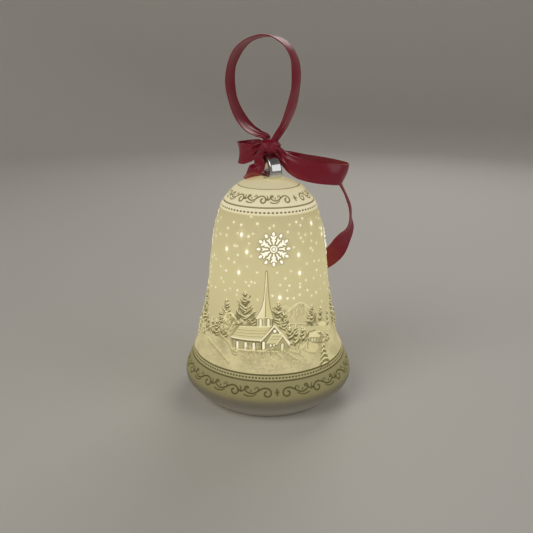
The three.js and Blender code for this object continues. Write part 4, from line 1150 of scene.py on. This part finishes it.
dome = [(0, 24.6), (1.3, 24.52), (2.6, 24.3), (3.8, 23.97), (4.9, 23.5), (6.0, 22.75), (7.0, 21.8), (7.75, 20.75), (8.3, 19.6), (8.65, 18.3), (8.8, 17.0),
        (8.8, 13.2), (8.9, 13.1), (10.5, 13.1), (10.6, 13.0), (10.6, 12.2), (10.5, 12.1), (7.9, 12.1), (7.8, 12.2), (7.8, 16.9), (7.65, 18.1), (7.3, 19.2),
        (6.85, 20.3), (6.2, 21.2), (5.35, 22.0), (4.3, 22.7), (3.3, 23.15), (2.3, 23.4), (1.2, 23.55), (0, 23.6)]
put(lathe("diffuser_dome", dome, frost, seg=96, sharp=40, on_axis=True), "light_unit", "frosted_plastic", "light_diffuser")
grip = [(27.6, 3.3), (28.6, 3.3), (29.05, 3.4), (29.4, 3.7), (29.5, 4.05), (29.35, 4.2), (29.5, 4.35), (29.4, 4.7), (29.05, 5.0), (28.6, 5.1), (27.6, 5.1)]
put(lathe("grip_ring_ribbed", grip, rubber, seg=120, sharp=50), "light_unit", "grip_rubber", "grip_ring")
led_p = [(0, 12.1), (2.9, 12.1), (2.9, 13.0), (2.8, 13.1), (2.5, 13.1), (2.5, 18.2), (2.42, 18.9), (2.2, 19.45), (1.85, 19.95), (1.4, 20.32), (0.75, 20.6), (0, 20.7)]
put(lathe("led_body", led_p, led, seg=48, sharp=40, on_axis=True), "light_unit", "led_resin", "led_emitter")
for nm, z0 in (("coin_cell_lower", 2.7), ("coin_cell_upper", 6.2)):
    cp = [(0, z0), (8.5, z0), (8.65, z0 + .08), (8.75, z0 + .35), (9.65, z0 + .35), (9.9, z0 + .45), (10.0, z0 + .7), (10.0, z0 + 2.95), (9.9, z0 + 3.12), (9.7, z0 + 3.2), (0, z0 + 3.2)]
    put(lathe(nm + "_can", cp, cellm, seg=72, on_axis=True), "light_unit", "cell_steel", nm)

# small parts soldered on the board, under the cover
for i, (a, w_, h_) in enumerate(((70, 2.0, 1.2), (105, 1.6, 0.8), (250, 2.4, 1.4))):
    x, y = 14.5 * math.cos(math.radians(a)), 14.5 * math.sin(math.radians(a))
    bx = [(x + sx * w_ / 2, y + sy * h_ / 2, 11.75 + sz * 0.7) for sx in (-1, 1) for sy in (-1, 1) for sz in (0, 1)]
    F = [(0, 1, 3, 2), (4, 6, 7, 5), (0, 4, 5, 1), (2, 3, 7, 6), (0, 2, 6, 4), (1, 5, 7, 3)]
    o = obj_from("board_chip_%d" % i, np.array(bx) * MM, F, black_pl, smooth=False)
    put(o, "light_unit", "black_plastic")

# ---------------------------------------------------------------- floor, light, camera
floor_m = material("stage_floor", (236, 233, 227), rough=0.6)
prof = [(0.0, 0.0), (0.5, 0.0), (0.95, 0.0)] + [(0.95 + 0.35 * math.sin(a), 0.35 - 0.35 * math.cos(a)) for a in np.linspace(0, math.pi / 2, 16)[1:]] + [(1.3, 1.9)]
NS = 96
vs = [(0.0, 0.0, 0.0)] + [(r * math.cos(TAU * k / NS), r * math.sin(TAU * k / NS), z) for r, z in prof[1:] for k in range(NS)]
fs = [(0, 1 + k, 1 + (k + 1) % NS) for k in range(NS)]
for i in range(len(prof) - 2):
    for k in range(NS):
        a, b = 1 + i * NS + k, 1 + i * NS + (k + 1) % NS
        fs.append((a, a + NS, b + NS, b))
fl = obj_from("stage_sweep", vs, fs, floor_m, sharp=60)


def area(name, loc, target, size, watts, color=(1, 1, 1)):
    l = bpy.data.lights.new(name, "AREA")
    l.shape = "RECTANGLE"
    l.size, l.size_y = size
    l.energy = watts
    l.color = color
    o = bpy.data.objects.new(name, l)
    o.location = loc
    from mathutils import Vector
    d = Vector(target) - Vector(loc)
    o.rotation_euler = d.to_track_quat("-Z", "Y").to_euler()
    bpy.context.scene.collection.objects.link(o)
    return o


area("key", (-0.55, -0.55, 0.75), (0, 0, 0.06), (0.6, 0.5), 2.2, (1.0, 0.97, 0.93))
area("fill", (0.75, -0.35, 0.45), (0, 0, 0.08), (0.6, 0.6), 1.0, (0.93, 0.96, 1.0))
area("rim", (0.25, 0.7, 0.6), (0, 0, 0.10), (0.5, 0.4), 1.3, (1.0, 0.98, 0.95))
sc = bpy.context.scene
w = bpy.data.worlds.new("soft") if sc.world is None else sc.world
sc.world = w
w.use_nodes = True
bg = w.node_tree.nodes.get("Background") or w.node_tree.nodes.new("ShaderNodeBackground")
bg.inputs[0].default_value = (0.88, 0.88, 0.88, 1)
bg.inputs[1].default_value = 0.12
sc.view_settings.view_transform = "Standard"
sc.view_settings.look = "None"

cd = bpy.data.cameras.new("camera")
cd.lens = 43.15
cd.sensor_width = 36
cd.clip_start = 0.01
cam = bpy.data.objects.new("camera", cd)
cam.location = (0, -0.3078, 0.1644)
from mathutils import Matrix
R0 = Matrix.Rotation(math.radians(0.179), 4, "Z") @ Matrix.Rotation(math.radians(90 - 17.727), 4, "X") @ Matrix.Rotation(math.radians(0.175), 4, "Z")
cam.matrix_world = Matrix.Translation(cam.location) @ R0
sc.collection.objects.link(cam)
sc.camera = cam
